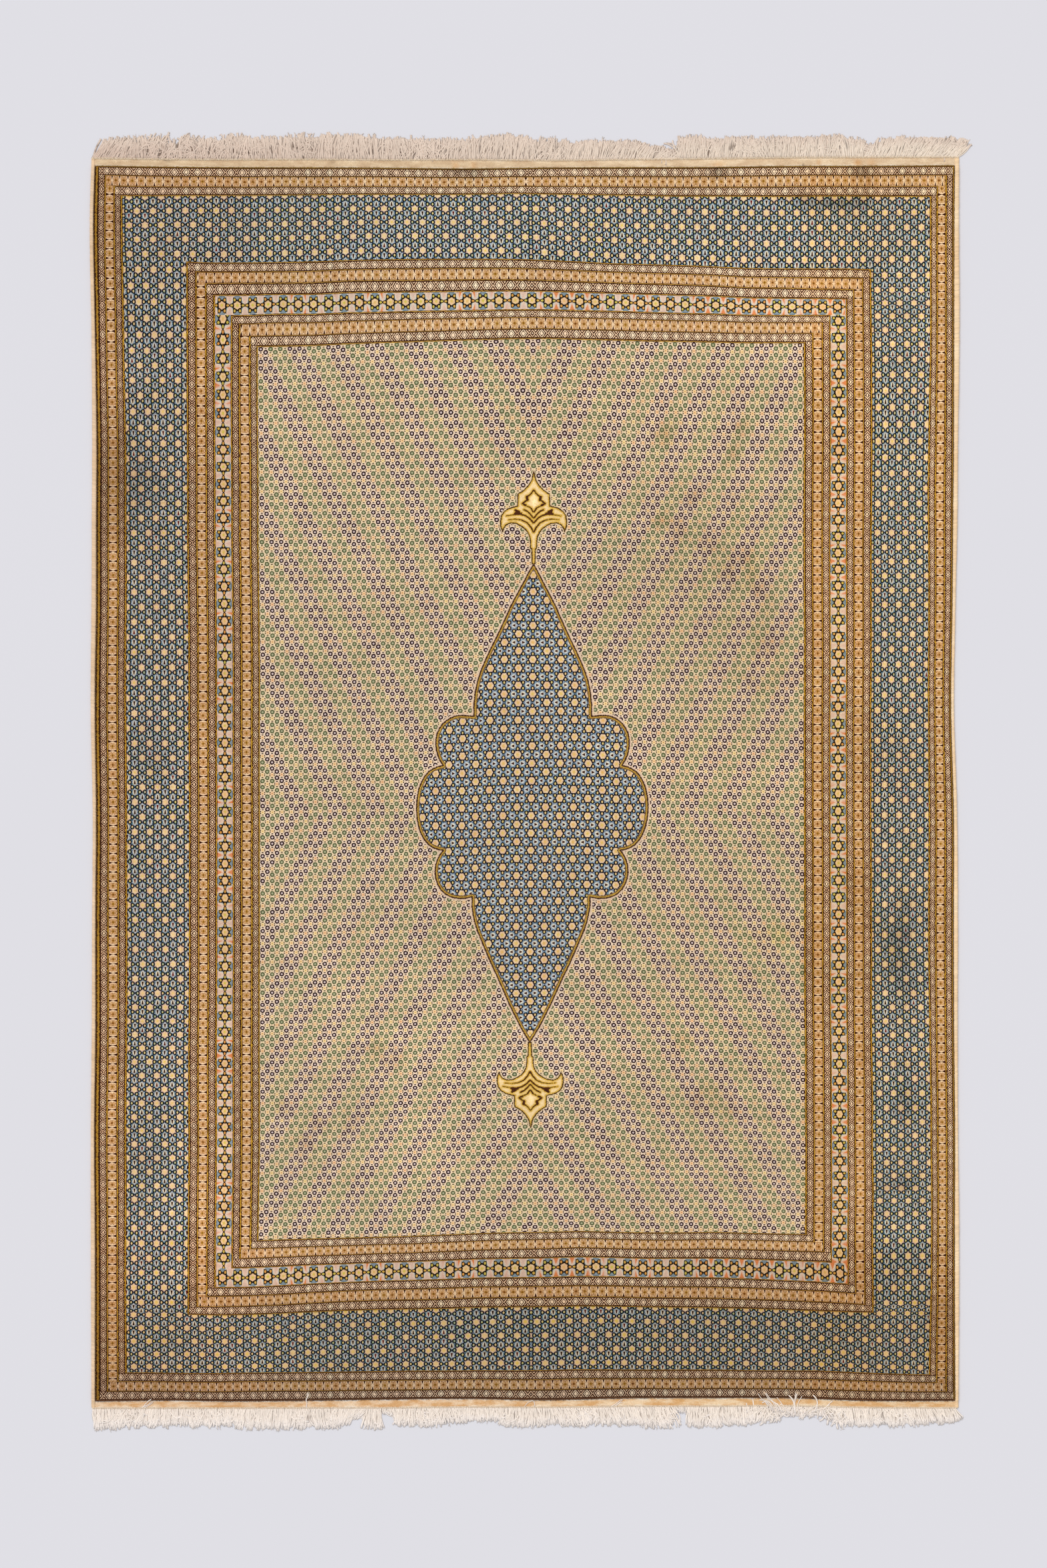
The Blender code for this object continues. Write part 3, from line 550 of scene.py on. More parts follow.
def stray(name, col, row):
    """How far right and down the knotted drawing of a piece strays at each place."""
    if name.startswith("pile_field"):
        return stray_table(FIELD_STRAYS, 425.0, 84.0, row, col)
    if name != "pile_blue_border":
        return np.zeros(len(col)), np.zeros(len(col))
    ends = [stray_table(BORDER_END_STRAYS[:3], 205.0, 90.0, row, col),
            stray_table(BORDER_END_STRAYS[3:], 205.0, 90.0, row, col)]
    upper = row < 1174.0
    side = np.clip((row - 372.0) / 28.0, 0, 1) * np.clip((1975.0 - row) / 55.0, 0, 1)
    side = side * ((col < 295.0) | (col > 1290.0))
    out = []
    for n, way in enumerate(("right", "down")):
        left = along(400.0, 60.0, BORDER_SIDE_STRAYS["left_" + way], row)
        right = along(400.0, 60.0, BORDER_SIDE_STRAYS["right_" + way], row)
        if way == "right":
            left = left - (col - 235.0) * 0.037
        by_side = np.where(col < AXIS, left, right)
        by_end = np.where(upper, ends[0][n], ends[1][n])
        out.append(by_end * (1 - side) + by_side * side)
    return out


def band_stray(top, side, at):
    """How far a band's own repeats stray along it, from the table of the nearest band."""
    for line in BAND_STRAYS:
        if line[0] == top and line[1] == side:
            return along(line[2], line[3], line[4], at)
    return np.zeros(at.shape)


def value_noise(seed, size):
    """Smooth noise from -1 to 1 over the rug; size is its grain across and along (units)."""
    table = np.random.RandomState(seed).uniform(-1, 1, (256, 256))

    def noise(col, row):
        u, v = np.asarray(col) / size[0] + 50.3, np.asarray(row) / size[1] + 50.7
        i, j = np.floor(u).astype(int), np.floor(v).astype(int)
        s, t = u - i, v - j
        s, t = s * s * (3 - 2 * s), t * t * (3 - 2 * t)
        a = table[j % 256, i % 256] * (1 - s) + table[j % 256, (i + 1) % 256] * s
        b = table[(j + 1) % 256, i % 256] * (1 - s) + table[(j + 1) % 256, (i + 1) % 256] * s
        return a * (1 - t) + b * t

    return noise


def lift(x, y):
    """The gentle unevenness of a rug that has been rolled and laid out again (m)."""
    x, y = np.asarray(x, float), np.asarray(y, float)
    waves = (0.30 * np.sin(7.1 * x + 1.9 * y + 0.4) + 0.26 * np.sin(5.3 * y - 3.1 * x + 2.0)
             + 0.22 * np.sin(11.9 * y + 2.3 * x + 1.1) + 0.16 * np.sin(17.3 * x - 6.1 * y + 4.2)
             + 0.14 * np.sin(23.0 * y + 9.4 * x + 0.7))
    return 0.0009 * waves


def half_shape_distance(points, dx, row):
    """Signed distance to a half outline from the axis, positive inside (units)."""
    dx, row = np.asarray(dx, float), np.asarray(row, float)
    near = np.full(dx.shape, 1e9)
    inside = np.zeros(dx.shape, bool)
    for (x1, y1), (x2, y2) in zip(points[:-1], points[1:]):
        ex, ey = x2 - x1, y2 - y1
        t = np.clip(((dx - x1) * ex + (row - y1) * ey) / (ex * ex + ey * ey), 0, 1)
        near = np.minimum(near, np.hypot(dx - x1 - t * ex, row - y1 - t * ey))
        crosses = (y1 > row) != (y2 > row)
        with np.errstate(divide="ignore", invalid="ignore"):
            at = x1 + (row - y1) / (y2 - y1) * ex
        inside ^= crosses & (dx < at)
    return np.where(inside, near, -near)


def medallion_distance(col, row):
    return half_shape_distance(MEDALLION, np.abs(col - axis_at(row)), row)


def pendant_distance(col, row):
    """Signed distance to the nearer pendant's outline, and to its brown lines."""
    outline = np.full(np.shape(col), -60.0)
    lines = np.full(np.shape(col), 60.0)
    for _, tip, scale in PENDANTS:
        down = (row - tip) / scale
        here = (down > -12) & (down < 150)
        if not here.any():
            continue
        dx, down = np.abs(col - axis_at(row))[here], down[here]
        outline[here] = half_shape_distance(PENDANT, dx, down)
        near = np.full(dx.shape, 60.0)
        for x1, y1, x2, y2, width in PENDANT_LINES:
            ex, ey = x2 - x1, y2 - y1
            t = np.clip(((dx - x1) * ex + (down - y1) * ey) / (ex * ex + ey * ey), 0, 1)
            near = np.minimum(near, np.hypot(dx - x1 - t * ex, down - y1 - t * ey) - width / 2)
        lines[here] = near
    return outline, lines


# ----------------------------------------------------------------------------
# Soft darker and lighter patches of tone on the pile
# ----------------------------------------------------------------------------
# Place and half size (units), strength, and tint: how much red, green and blue it takes.
BROWN, DARK, GOLD = (0.50, 0.66, 0.90), (0.86, 0.90, 0.92), (0.10, 0.12, 0.90)
PATCH_COLUMNS = ("col", "row", "half_width", "half_height", "strength", "tint")
PATCHES = (
    (170, 720, 34, 100, 0.26, DARK), (215, 740, 26, 70, 0.16, DARK),
    (697, 257, 26, 7, 0.50, DARK), (1074, 257, 8, 7, 0.55, DARK), (1290, 257, 12, 8, 0.55, DARK),
    (1203, 300, 16, 8, 0.40, DARK), (1248, 303, 24, 7, 0.50, DARK), (1286, 302, 14, 9, 0.45, DARK),
    (997, 648, 9, 12, 0.42, BROWN), (1110, 638, 9, 9, 0.38, BROWN), (1097, 678, 8, 10, 0.36, BROWN),
    (1038, 745, 10, 9, 0.30, BROWN), (990, 780, 9, 10, 0.30, BROWN),
    (1015, 788, 8, 9, 0.26, BROWN), (1059, 814, 10, 9, 0.26, BROWN),
    (1092, 855, 9, 12, 0.32, BROWN), (1120, 837, 8, 14, 0.40, BROWN),
    (1135, 883, 8, 12, 0.30, BROWN), (421, 1658, 10, 9, 0.28, BROWN),
    (476, 1683, 12, 9, 0.30, BROWN), (457, 1710, 9, 9, 0.28, BROWN),
    (564, 1570, 10, 8, 0.26, BROWN), (589, 1588, 9, 8, 0.26, BROWN),
    (528, 1686, 9, 9, 0.22, BROWN), (1025, 1558, 9, 9, 0.26, BROWN),
    (1066, 1632, 10, 9, 0.24, BROWN), (1093, 1664, 10, 9, 0.24, BROWN),
    (1043, 1658, 8, 9, 0.22, BROWN),
    (1273, 1332, 8, 26, 0.30, BROWN), (1296, 1332, 6, 14, 0.34, BROWN),
    (1213, 1434, 6, 22, 0.34, BROWN), (1296, 1581, 6, 11, 0.32, BROWN),
    (1350, 1424, 13, 74, 0.36, DARK), (1356, 1652, 11, 30, 0.30, DARK),
    (1165, 1403, 22, 16, 0.20, GOLD),
    (1149, 969, 16, 26, 0.22, BROWN), (1165, 1010, 26, 22, 0.12, BROWN),
    (1330, 1408, 13, 40, 0.16, BROWN), (1368, 1767, 14, 22, 0.22, DARK),
    (1327, 1767, 12, 16, 0.16, DARK), (223, 1135, 22, 28, 0.20, DARK),
    (1345, 1130, 30, 34, 0.14, DARK), (1020, 860, 60, 70, 0.06, BROWN),
)
# Where the pile is lighter (or, with a minus, duller): column and half width, row and
# half depth (units), and by how much.
LIGHTS = (
    (1240, 75, 455, 100, 0.20), (1397, 18, 620, 260, 0.18), (1040, 130, 430, 110, 0.10),
    (640, 190, 660, 150, 0.06), (430, 90, 340, 80, -0.12), (195, 60, 360, 90, -0.08),
    (1255, 40, 900, 90, 0.13), (180, 24, 560, 60, 0.10), (180, 22, 820, 40, 0.14),
    (295, 42, 1520, 170, 0.14), (295, 46, 1850, 110, 0.26), (185, 40, 1880, 110, 0.18),
    (190, 30, 1650, 60, 0.12), (300, 34, 1150, 100, 0.09), (350, 34, 2020, 40, 0.18),
    (630, 60, 1690, 130, 0.12), (490, 50, 1480, 60, 0.09), (1010, 330, 1975, 70, -0.10),
    (800, 160, 1560, 40, 0.06), (1281, 16, 1750, 50, 0.16), (1339, 20, 1965, 34, 0.14),
    (1120, 80, 940, 60, -0.06), (1000, 200, 850, 60, -0.04), (560, 120, 1010, 100, -0.05),
    (153, 7, 1500, 150, 0.20), (153, 7, 540, 60, 0.20), (217, 24, 1720, 60, -0.20),
    (420, 70, 1890, 26, 0.12), (295, 30, 545, 40, 0.14), (1340, 24, 1910, 24, -0.14),
    (799.5, 2.0, 752, 4.5, 0.30), (795.5, 2.0, 1647, 4.5, 0.30), (1300, 26, 650, 50, 0.10), (1120, 70, 690, 40, 0.05), (620, 260, 690, 80, -0.03),
)


# Broad changes of tone: where each starts and is full, along what, and its tint.
REGION_TINTS = (
    (390.0, 350.0, "col", (0.95, 0.90, 0.88)), (1195.0, 1215.0, "col", (1.03, 0.97, 0.88)),
    (1305.0, 1325.0, "col", (1.01, 1.04, 1.09)), (1150.0, 1300.0, "row", (0.98, 0.98, 0.98)),
    (1850.0, 1880.0, "row", (0.91, 0.87, 0.84)), (1925.0, 1965.0, "row", (0.88, 0.87, 0.85)),
    (2052.0, 2068.0, "row", (0.87, 0.90, 0.97)), (600.0, 1250.0, "col", (1.00, 0.98, 0.95)),
)


def tone(col, row):
    """What the pile's colours are multiplied by, red, green and blue."""
    fine, middle, broad = (value_noise(s, size) for s, size in
                           ((3, (7, 7)), (5, (26, 20)), (7, (120, 90))))
    streak = value_noise(11, (150, 9))
    shade = (1.0 + 0.035 * fine(col, row) + 0.04 * middle(col, row) + 0.03 * broad(col, row)
             + 0.025 * streak(col, row))
    out = np.repeat(shade[..., None], 3, axis=-1)
    ragged = 1.0 + 0.45 * middle(col + 300, row + 70) + 0.30 * fine(col + 90, row + 40)
    for c, r, w, h, strength, tint in PATCHES:
        far = ((col - c) / w) ** 2 + ((row - r) / h) ** 2
        much = strength * np.exp(-0.5 * np.minimum(far * ragged ** 2, 60.0))
        out *= 1.0 - much[..., None] * np.array(tint)
    for c, w, r, h, much in LIGHTS:
        far = ((col - c) / w) ** 2 + ((row - r) / h) ** 2
        out *= 1.0 + much * np.exp(-0.5 * np.minimum(far * ragged, 60.0))[..., None]
    for low, high, value, tint in REGION_TINTS:
        much = np.clip(((col if value == "col" else row) - low) / (high - low), 0, 1)[..., None]
        out *= 1.0 - much * (1.0 - np.array(tint))
    return out * np.array((0.97, 0.93, 0.87))                 # old wool, gone a little yellow


# ----------------------------------------------------------------------------
# The pile: one surface on the drawing's own lines, in five joined pieces
# ----------------------------------------------------------------------------
CELL = 10.0           # widest step of the grid (units)
FINE = 8              # finer cells to a cell along the outlines of the shapes
RIM_LINES = (0.0, 0.25, 0.75, 1.6)   # lines near the edge, for its round (units)


def grid_lines(bands, last, low_name, high_name):
    """The grid's lines from one side to the other: every band limit, no step over CELL."""
    fixed = {band[low_name] for band in bands} | {band[high_name] for band in bands} | set(last)
    low, high = min(fixed), max(fixed)
    fixed |= {low + d for d in RIM_LINES} | {high - d for d in RIM_LINES}
    fixed = sorted(fixed)
    lines = []
    for a, b in zip(fixed[:-1], fixed[1:]):
        n = max(1, int(math.ceil((b - a) / CELL - 1e-9)))
        lines += [a + (b - a) * k / n for k in range(n)]
    return np.array(lines + [fixed[-1]])


def bands_in(position, low, high):
    """How many bands in a place lies, seen from its low side and from its high side."""
    from_low = np.searchsorted(low, position, side="right") - 1
    from_high = np.searchsorted(-high, -position, side="left") - 1
    return from_low, from_high


def cells():
    """The drawing's grid as cells of four corners, anticlockwise from above.

    Each corner holds x, y, and its own column and row in the drawing.
    """
    bands = [dict(zip(BAND_COLUMNS, band)) for band in BANDS]
    cols = grid_lines(bands, (AXIS,), "left", "right")
    rows = grid_lines(bands, (1210.0, 1096.0), "top", "bottom")
    place_col = cols[None, :] + wander(rows, cols)
    place_row = rows[:, None] + bow(rows, cols)
    grid = np.stack([
        to_x(place_col), to_y(place_row),
        np.broadcast_to(cols[None, :], place_col.shape),
        np.broadcast_to(rows[:, None], place_col.shape),
    ], axis=-1)
    i, j = np.meshgrid(np.arange(len(rows) - 1), np.arange(len(cols) - 1), indexing="ij")
    i, j = i.ravel(), j.ravel()
    return np.stack([grid[i + 1, j], grid[i + 1, j + 1], grid[i, j + 1], grid[i, j]], axis=1)


def finer(corner, n):
    """Each cell cut into n by n, in straight steps so that neighbours still meet."""
    s = np.arange(n + 1) / n
    a, b, c, d = (corner[:, None, None, k] for k in range(4))
    u, v = s[None, None, :, None], s[None, :, None, None]
    grid = a * (1 - u) * (1 - v) + b * u * (1 - v) + c * u * v + d * (1 - u) * v
    quads = np.stack([grid[:, :-1, :-1], grid[:, :-1, 1:], grid[:, 1:, 1:], grid[:, 1:, :-1]],
                     axis=3)
    return quads.reshape(-1, 4, corner.shape[-1])


def rim_drop(col, row):
    """How far the sheared edge rounds off below the pile's level (m)."""
    near = np.minimum(np.minimum(col - PILE_COLS[0], PILE_COLS[1] - col),
                      np.minimum(row - PILE_ROWS[0], PILE_ROWS[1] - row))
    short = PILE_RIM - np.clip(near * UNIT, 0, PILE_RIM)
    return PILE_RIM - np.sqrt(np.maximum(PILE_RIM ** 2 - short ** 2, 0))


def pile_level(x, y, col, row):
    return PILE_THICKNESS - 0.0010 + lift(x, y) - rim_drop(col, row)


MATERIAL_ORDER = ("edge", "guard", "line", "tiles", "border", "stars", "field", "medallion",
                  "medallion_rim", "pendant")
# The pieces of the pile: name, first and last band from the outside, and how many
# lengths each side is cut into on the piece's own map (ends, sides, widest strip).
FRAMES = (
    ("pile_outer_bands", 0, 6, 2, 3, 50.0),
    ("pile_blue_border", 7, 7, 2, 2, 101.0),
    ("pile_inner_bands", 8, 22, 2, 2, 124.0),
)


def surface_piece(name, corner, facts, skirt, materials):
    """A mesh from cells. facts gives each cell's material, and values at its corners."""
    flat = corner.reshape(-1, 4)
    key = np.round(flat[:, :2] * 2e6).astype(np.int64)
    _, first, index = np.unique(key, axis=0, return_index=True, return_inverse=True)
    index = index.reshape(-1)
    at = flat[first]
    x, y, col, row = at.T
    z = pile_level(x, y, col, row)
    verts = np.stack([x, y, z], axis=1)
    faces = index.reshape(-1, 4)
    mats = facts["material"]
    values = {k: facts[k] for k in ("band", "map")}
    rows_of = {k: at[:, n] for n, k in ((2, "col"), (3, "row"))}

    if skirt:
        edges = np.concatenate([faces[:, [k, (k + 1) % 4]] for k in range(4)])
        cell = np.tile(np.arange(len(faces)), 4)
        slot = np.repeat(np.arange(4), len(faces))
        both = np.sort(edges, axis=1)
        _, inverse, uses = np.unique(both, axis=0, return_inverse=True, return_counts=True)
        lone = uses[inverse.reshape(-1)] == 1
        a, b = edges[lone].T
        outer = np.ones(len(a), bool)
        for v in (a, b):
            near = np.minimum(np.minimum(rows_of["col"][v] - PILE_COLS[0],
                                         PILE_COLS[1] - rows_of["col"][v]),
                              np.minimum(rows_of["row"][v] - PILE_ROWS[0],
                                         PILE_ROWS[1] - rows_of["row"][v]))
            outer &= near < 0.01
        a, b = a[outer], b[outer]
        cell, slot = cell[lone][outer], slot[lone][outer]
        low = {}
        for v in np.unique(np.concatenate([a, b])):
            low[int(v)] = len(verts) + len(low)
        foot = verts[list(low)].copy()
        foot[:, 2] = 0.0004
        verts = np.concatenate([verts, foot])
        la, lb = np.array([low[int(v)] for v in a]), np.array([low[int(v)] for v in b])
        faces = np.concatenate([faces, np.stack([b, a, la, lb], axis=1)])
        mats = np.concatenate([mats, mats[cell]])
        for k in list(values):
            here, there = values[k][cell, slot], values[k][cell, (slot + 1) % 4]
            other_a, other_b = values[k][cell, (slot + 3) % 4], values[k][cell, (slot + 2) % 4]
            past = 2.5 if k == "map" else 0.0
            step_a, step_b = here - other_a, there - other_b
            size = np.maximum(np.linalg.norm(step_a, axis=-1, keepdims=True), 1e-6)
            la_value = here + past * step_a / size
            lb_value = there + past * step_b / size
            values[k] = np.concatenate([values[k], np.stack([there, here, la_value, lb_value],
                                                            axis=1)])
        for k in list(rows_of):
            rows_of[k] = np.concatenate([rows_of[k], rows_of[k][list(low)]])

    mesh = bpy.data.meshes.new(name)
    mesh.vertices.add(len(verts))
    mesh.vertices.foreach_set("co", verts.astype(np.float32).ravel())
    mesh.loops.add(faces.size)
    mesh.loops.foreach_set("vertex_index", faces.ravel().astype(np.int32))
    mesh.polygons.add(len(faces))
    mesh.polygons.foreach_set("loop_start", np.arange(0, faces.size, 4, dtype=np.int32))
    mesh.update(calc_edges=True)
    mesh.validate()
    used = sorted(set(int(m) for m in mats))
    for m in used:
        mesh.materials.append(materials[MATERIAL_ORDER[m]])
    mesh.polygons.foreach_set("material_index",
                              np.array([used.index(int(m)) for m in mats], np.int32))
    mesh.polygons.foreach_set("use_smooth", np.ones(len(faces), bool))

    x, y = verts[:, 0], verts[:, 1]
    col, row = rows_of["col"], rows_of["row"]
    here_col, here_row = to_col(x), to_row(y)
    loom = mesh.attributes.new("loom", "FLOAT_VECTOR", "POINT")
    right, down = stray(name, here_col, here_row)
    loom.data.foreach_set("vector", np.stack(
        [column_knots(col - right), row_knots(row - down), np.zeros(len(x))],
        axis=1).astype(np.float32).ravel())
    outline, lines = pendant_distance(here_col, here_row)
    shape = mesh.attributes.new("shape", "FLOAT_VECTOR", "POINT")
    shape.data.foreach_set("vector", np.stack(
        [medallion_distance(here_col, here_row), outline, lines],
        axis=1).astype(np.float32).ravel())
    shade = mesh.attributes.new("tone", "FLOAT_VECTOR", "POINT")
    shade.data.foreach_set("vector", tone(here_col, here_row).astype(np.float32).ravel())
    band = mesh.attributes.new("band", "FLOAT_VECTOR", "CORNER")
    band.data.foreach_set("vector", values["band"].astype(np.float32).ravel())
    layer = mesh.uv_layers.new(name="OFBake")
    spots = values["map"].reshape(-1, 2)
    low, high = spots.min(axis=0), spots.max(axis=0)
    layer.data.foreach_set("uv", ((spots - low + 1.5) / (high - low + 3.0))
                           .astype(np.float32).ravel())
    # the same normals on both sides of a joint between pieces
    e = 1e-3
    level = pile_level
    cdx, rdy = e / UNIT, -e / UNIT
    dzdx = (level(x + e, y, col + cdx, row) - level(x - e, y, col - cdx, row)) / (2 * e)
    dzdy = (level(x, y + e, col, row + rdy) - level(x, y - e, col, row - rdy)) / (2 * e)
    normals = np.stack([-dzdx, -dzdy, np.ones(len(x))], axis=1)
    edge = rim_drop(col, row) > 0.0012
    rim = np.zeros((len(x), 3))
    rim[:, 0] = np.where(col - PILE_COLS[0] < 0.6, -1, np.where(PILE_COLS[1] - col < 0.6, 1, 0))
    rim[:, 1] = np.where(row - PILE_ROWS[0] < 0.6, 1, np.where(PILE_ROWS[1] - row < 0.6, -1, 0))
    normals[edge] = rim[edge] + np.array([0, 0, 0.35])
    normals /= np.linalg.norm(normals, axis=1, keepdims=True)
    mesh.normals_split_custom_set_from_vertices(normals.astype(np.float32).tolist())
    piece = bpy.data.objects.new(name, mesh)
    bpy.context.scene.collection.objects.link(piece)
    return piece


def pile_pieces(materials):
    corner = cells()
    centre = corner.mean(axis=1)
    col, row = centre[:, 2], centre[:, 3]
    limits = {side: np.array([band[n] for band in BANDS])
              for n, side in enumerate(BAND_COLUMNS) if n}
    left, right = bands_in(col, limits["left"], limits["right"])
    top, bottom = bands_in(row, limits["top"], limits["bottom"])
    across = np.minimum(left, right)
    down = np.minimum(top, bottom)
    ring = np.minimum(across, down)
    level = down <= across                      # worked along an end, not along a side
    low_side = np.where(level, top <= bottom, left <= right)

    # cut finer where an outline passes
    here_col, here_row = to_col(centre[:, 0]), to_row(centre[:, 1])
    in_field = ring == len(BANDS) - 1
    near_medallion = np.abs(medallion_distance(here_col, here_row)) < 10.5
    outline, _ = pendant_distance(here_col, here_row)
    split = in_field & (near_medallion | (outline > -10.5))
    keep = ~split
    many = FINE * FINE
    corner = np.concatenate([corner[keep], finer(corner[split], FINE)])

    def spread(values):
        return np.concatenate([values[keep], np.repeat(values[split], many, axis=0)])

    ring, level, low_side = spread(ring), spread(level), spread(low_side)

    # band coordinates at the corners: repeats along, and -1 to 1 across from outside
    c, r = corner[:, :, 2], corner[:, :, 3]
    motif = np.array([band[0] for band in BANDS])[ring]
    name = ("left", "right", "top", "bottom")
    start = np.select([level & low_side, level & ~low_side, ~level & low_side],
                      [limits["top"][ring], limits["bottom"][ring], limits["left"][ring]],
                      limits["right"][ring])
    inner = np.minimum(ring + 1, len(BANDS) - 1)
    end = np.select([level & low_side, level & ~low_side, ~level & low_side],
                    [limits["top"][inner], limits["bottom"][inner], limits["left"][inner]],
                    limits["right"][inner])
    spot = np.where(level[:, None], r, c)
    span = np.where(end == start, 1.0, end - start)
    across_band = (spot - start[:, None]) / span[:, None] * 2 - 1
    repeats = {m: REPEATS.get(m, (1.0, 0.0, 1.0, 0.0)) for m in set(motif)}
    size_end, first_end, size_side, first_side = (
        np.array([repeats[m][n] for m in motif]) for n in range(4))
    side_of = np.select([level & low_side, level & ~low_side, ~level & low_side], [0, 1, 2], 3)
    shift = np.zeros(c.shape)
    here_c, here_r = to_col(corner[:, :, 0]), to_row(corner[:, :, 1])
    for n, side in enumerate(("top", "bottom", "left", "right")):
        for k in sorted(set(ring[side_of == n])):
            mine = (side_of == n) & (ring == k)
            at = here_c if n < 2 else here_r
            shift[mine] = band_stray(limits["top"][k], side, at[mine])
    along_end = (np.abs(column_knots(c - shift)) - first_end[:, None]) / size_end[:, None]
    along_side = ((row_knots(r - shift) - row_knots(first_side)[:, None])
                  / size_side[:, None])
    along_band = np.where(level[:, None], along_end, along_side)
    band = np.stack([along_band, across_band,
                     np.broadcast_to(np.where(level, 0.0, 1.0)[:, None], c.shape)], axis=-1)

    # which material
    here_col, here_row = to_col(corner[:, :, 0]), to_row(corner[:, :, 1])
    medal = medallion_distance(here_col, here_row)
    outline, _ = pendant_distance(here_col, here_row)
    kind = np.array([MATERIAL_ORDER.index(m) for m in motif])
    field = motif == "field"
    kind[field & (medal > 5.5).all(axis=1)] = MATERIAL_ORDER.index("medallion")
    kind[field & (medal > -5.0).any(axis=1) & ~(medal > 5.5).all(axis=1)] = (
        MATERIAL_ORDER.index("medallion_rim"))
    kind[field & (outline > -5.0).any(axis=1) & (here_row < 846).all(axis=1)] = (
        MATERIAL_ORDER.index("pendant"))
    kind[field & (outline > -5.0).any(axis=1) & (here_row > 1560).all(axis=1)] = (
        MATERIAL_ORDER.index("pendant"))

    pieces = []
    for piece_name, first, last, ends, sides, strip in FRAMES:
        mine = (ring >= first) & (ring <= last)
        c0, c1 = limits["left"][first], limits["right"][first]
        r0, r1 = limits["top"][first], limits["bottom"][first]
        i0, i1 = limits["left"][last + 1], limits["right"][last + 1]
        j0, j1 = limits["top"][last + 1], limits["bottom"][last + 1]
        cc, rr = c[mine], r[mine]
        mid_c, mid_r = cc.mean(axis=1), rr.mean(axis=1)
        at_top, at_bottom = mid_r < j0, mid_r > j1
        at_left = ~at_top & ~at_bottom & (mid_c < (i0 + i1) / 2)
        far = [at_top, at_bottom, at_left]
        run = np.select([f[:, None] for f in far], [cc - c0, cc - c0, rr - j0], rr - j0)
        wide = np.select([f[:, None] for f in far], [rr - r0, rr - j1, cc - c0], cc - i1)
        length = np.select(far, [(c1 - c0) / ends, (c1 - c0) / ends, (j1 - j0) / sides],
                           (j1 - j0) / sides)
        nth = np.floor(run.mean(axis=1) / length)
        slot = nth + np.select(far, [0, ends, 2 * ends], 2 * ends + sides)
        place = np.stack([slot[:, None] * (strip + 6.0) + wide, run - (nth * length)[:, None]],
                         axis=-1)
        pieces.append(surface_piece(
            piece_name, corner[mine],
            {"material": kind[mine], "band": band[mine], "map": place}, first == 0, materials))
    upper = r.mean(axis=1) < 1210.0
    for piece_name, mine in (("pile_field_upper", field & upper), ("pile_field_lower",
                                                                   field & ~upper)):
        place = np.stack([c[mine], r[mine]], axis=-1)
        pieces.append(surface_piece(
            piece_name, corner[mine],
            {"material": kind[mine], "band": band[mine], "map": place}, False, materials))
    return pieces


# ----------------------------------------------------------------------------
# Materials: arithmetic on loom coordinates, written as sums
# ----------------------------------------------------------------------------
def rgb(r, g, b):
    """A colour given as 0 to 255, as the linear colour that a socket takes."""
    def linear(c):
        c /= 255.0
        return c / 12.92 if c <= 0.04045 else ((c + 0.055) / 1.055) ** 2.4
    return (linear(r), linear(g), linear(b), 1.0)


class Num:
    """A number that varies over a surface; arithmetic on it adds nodes."""

    def __init__(self, net, socket):
        self.net, self.socket = net, socket

    def __add__(self, other):
        return self.net.math("ADD", self, other)

    __radd__ = __add__

    def __sub__(self, other):
        return self.net.math("SUBTRACT", self, other)

    def __rsub__(self, other):
        return self.net.math("SUBTRACT", other, self)

    def __mul__(self, other):
        return self.net.math("MULTIPLY", self, other)

    __rmul__ = __mul__

    def __abs__(self):
        return self.net.math("ABSOLUTE", self)

    def fit(self, scale, shift):
        return self.net.math("MULTIPLY_ADD", self, scale, shift)

    def wrap(self, low, high):
        return self.net.math("WRAP", self, high, low)

    def over(self, limit):
        """1 above the limit, 0 below it."""
        return self.net.math("GREATER_THAN", self, limit)

    def sign(self):
        return self.net.math("SIGN", self)

    def floor(self):
        return self.net.math("FLOOR", self)

    def below(self, limit, soft):
        """1 below the limit, 0 above it, with an edge of width soft between them."""
        return self.net.math("MULTIPLY_ADD", self, -1.0 / soft, limit / soft + 0.5, clamp=True)

    def above(self, limit, soft):
        return self.net.math("MULTIPLY_ADD", self, 1.0 / soft, 0.5 - limit / soft, clamp=True)

    def most(self, other):
        return self.net.math("MAXIMUM", self, other)

    def least(self, other):
        return self.net.math("MINIMUM", self, other)


def hypot(x, y):
    return x.net.math("SQRT", x.net.math("MULTIPLY_ADD", x, x, y * y))


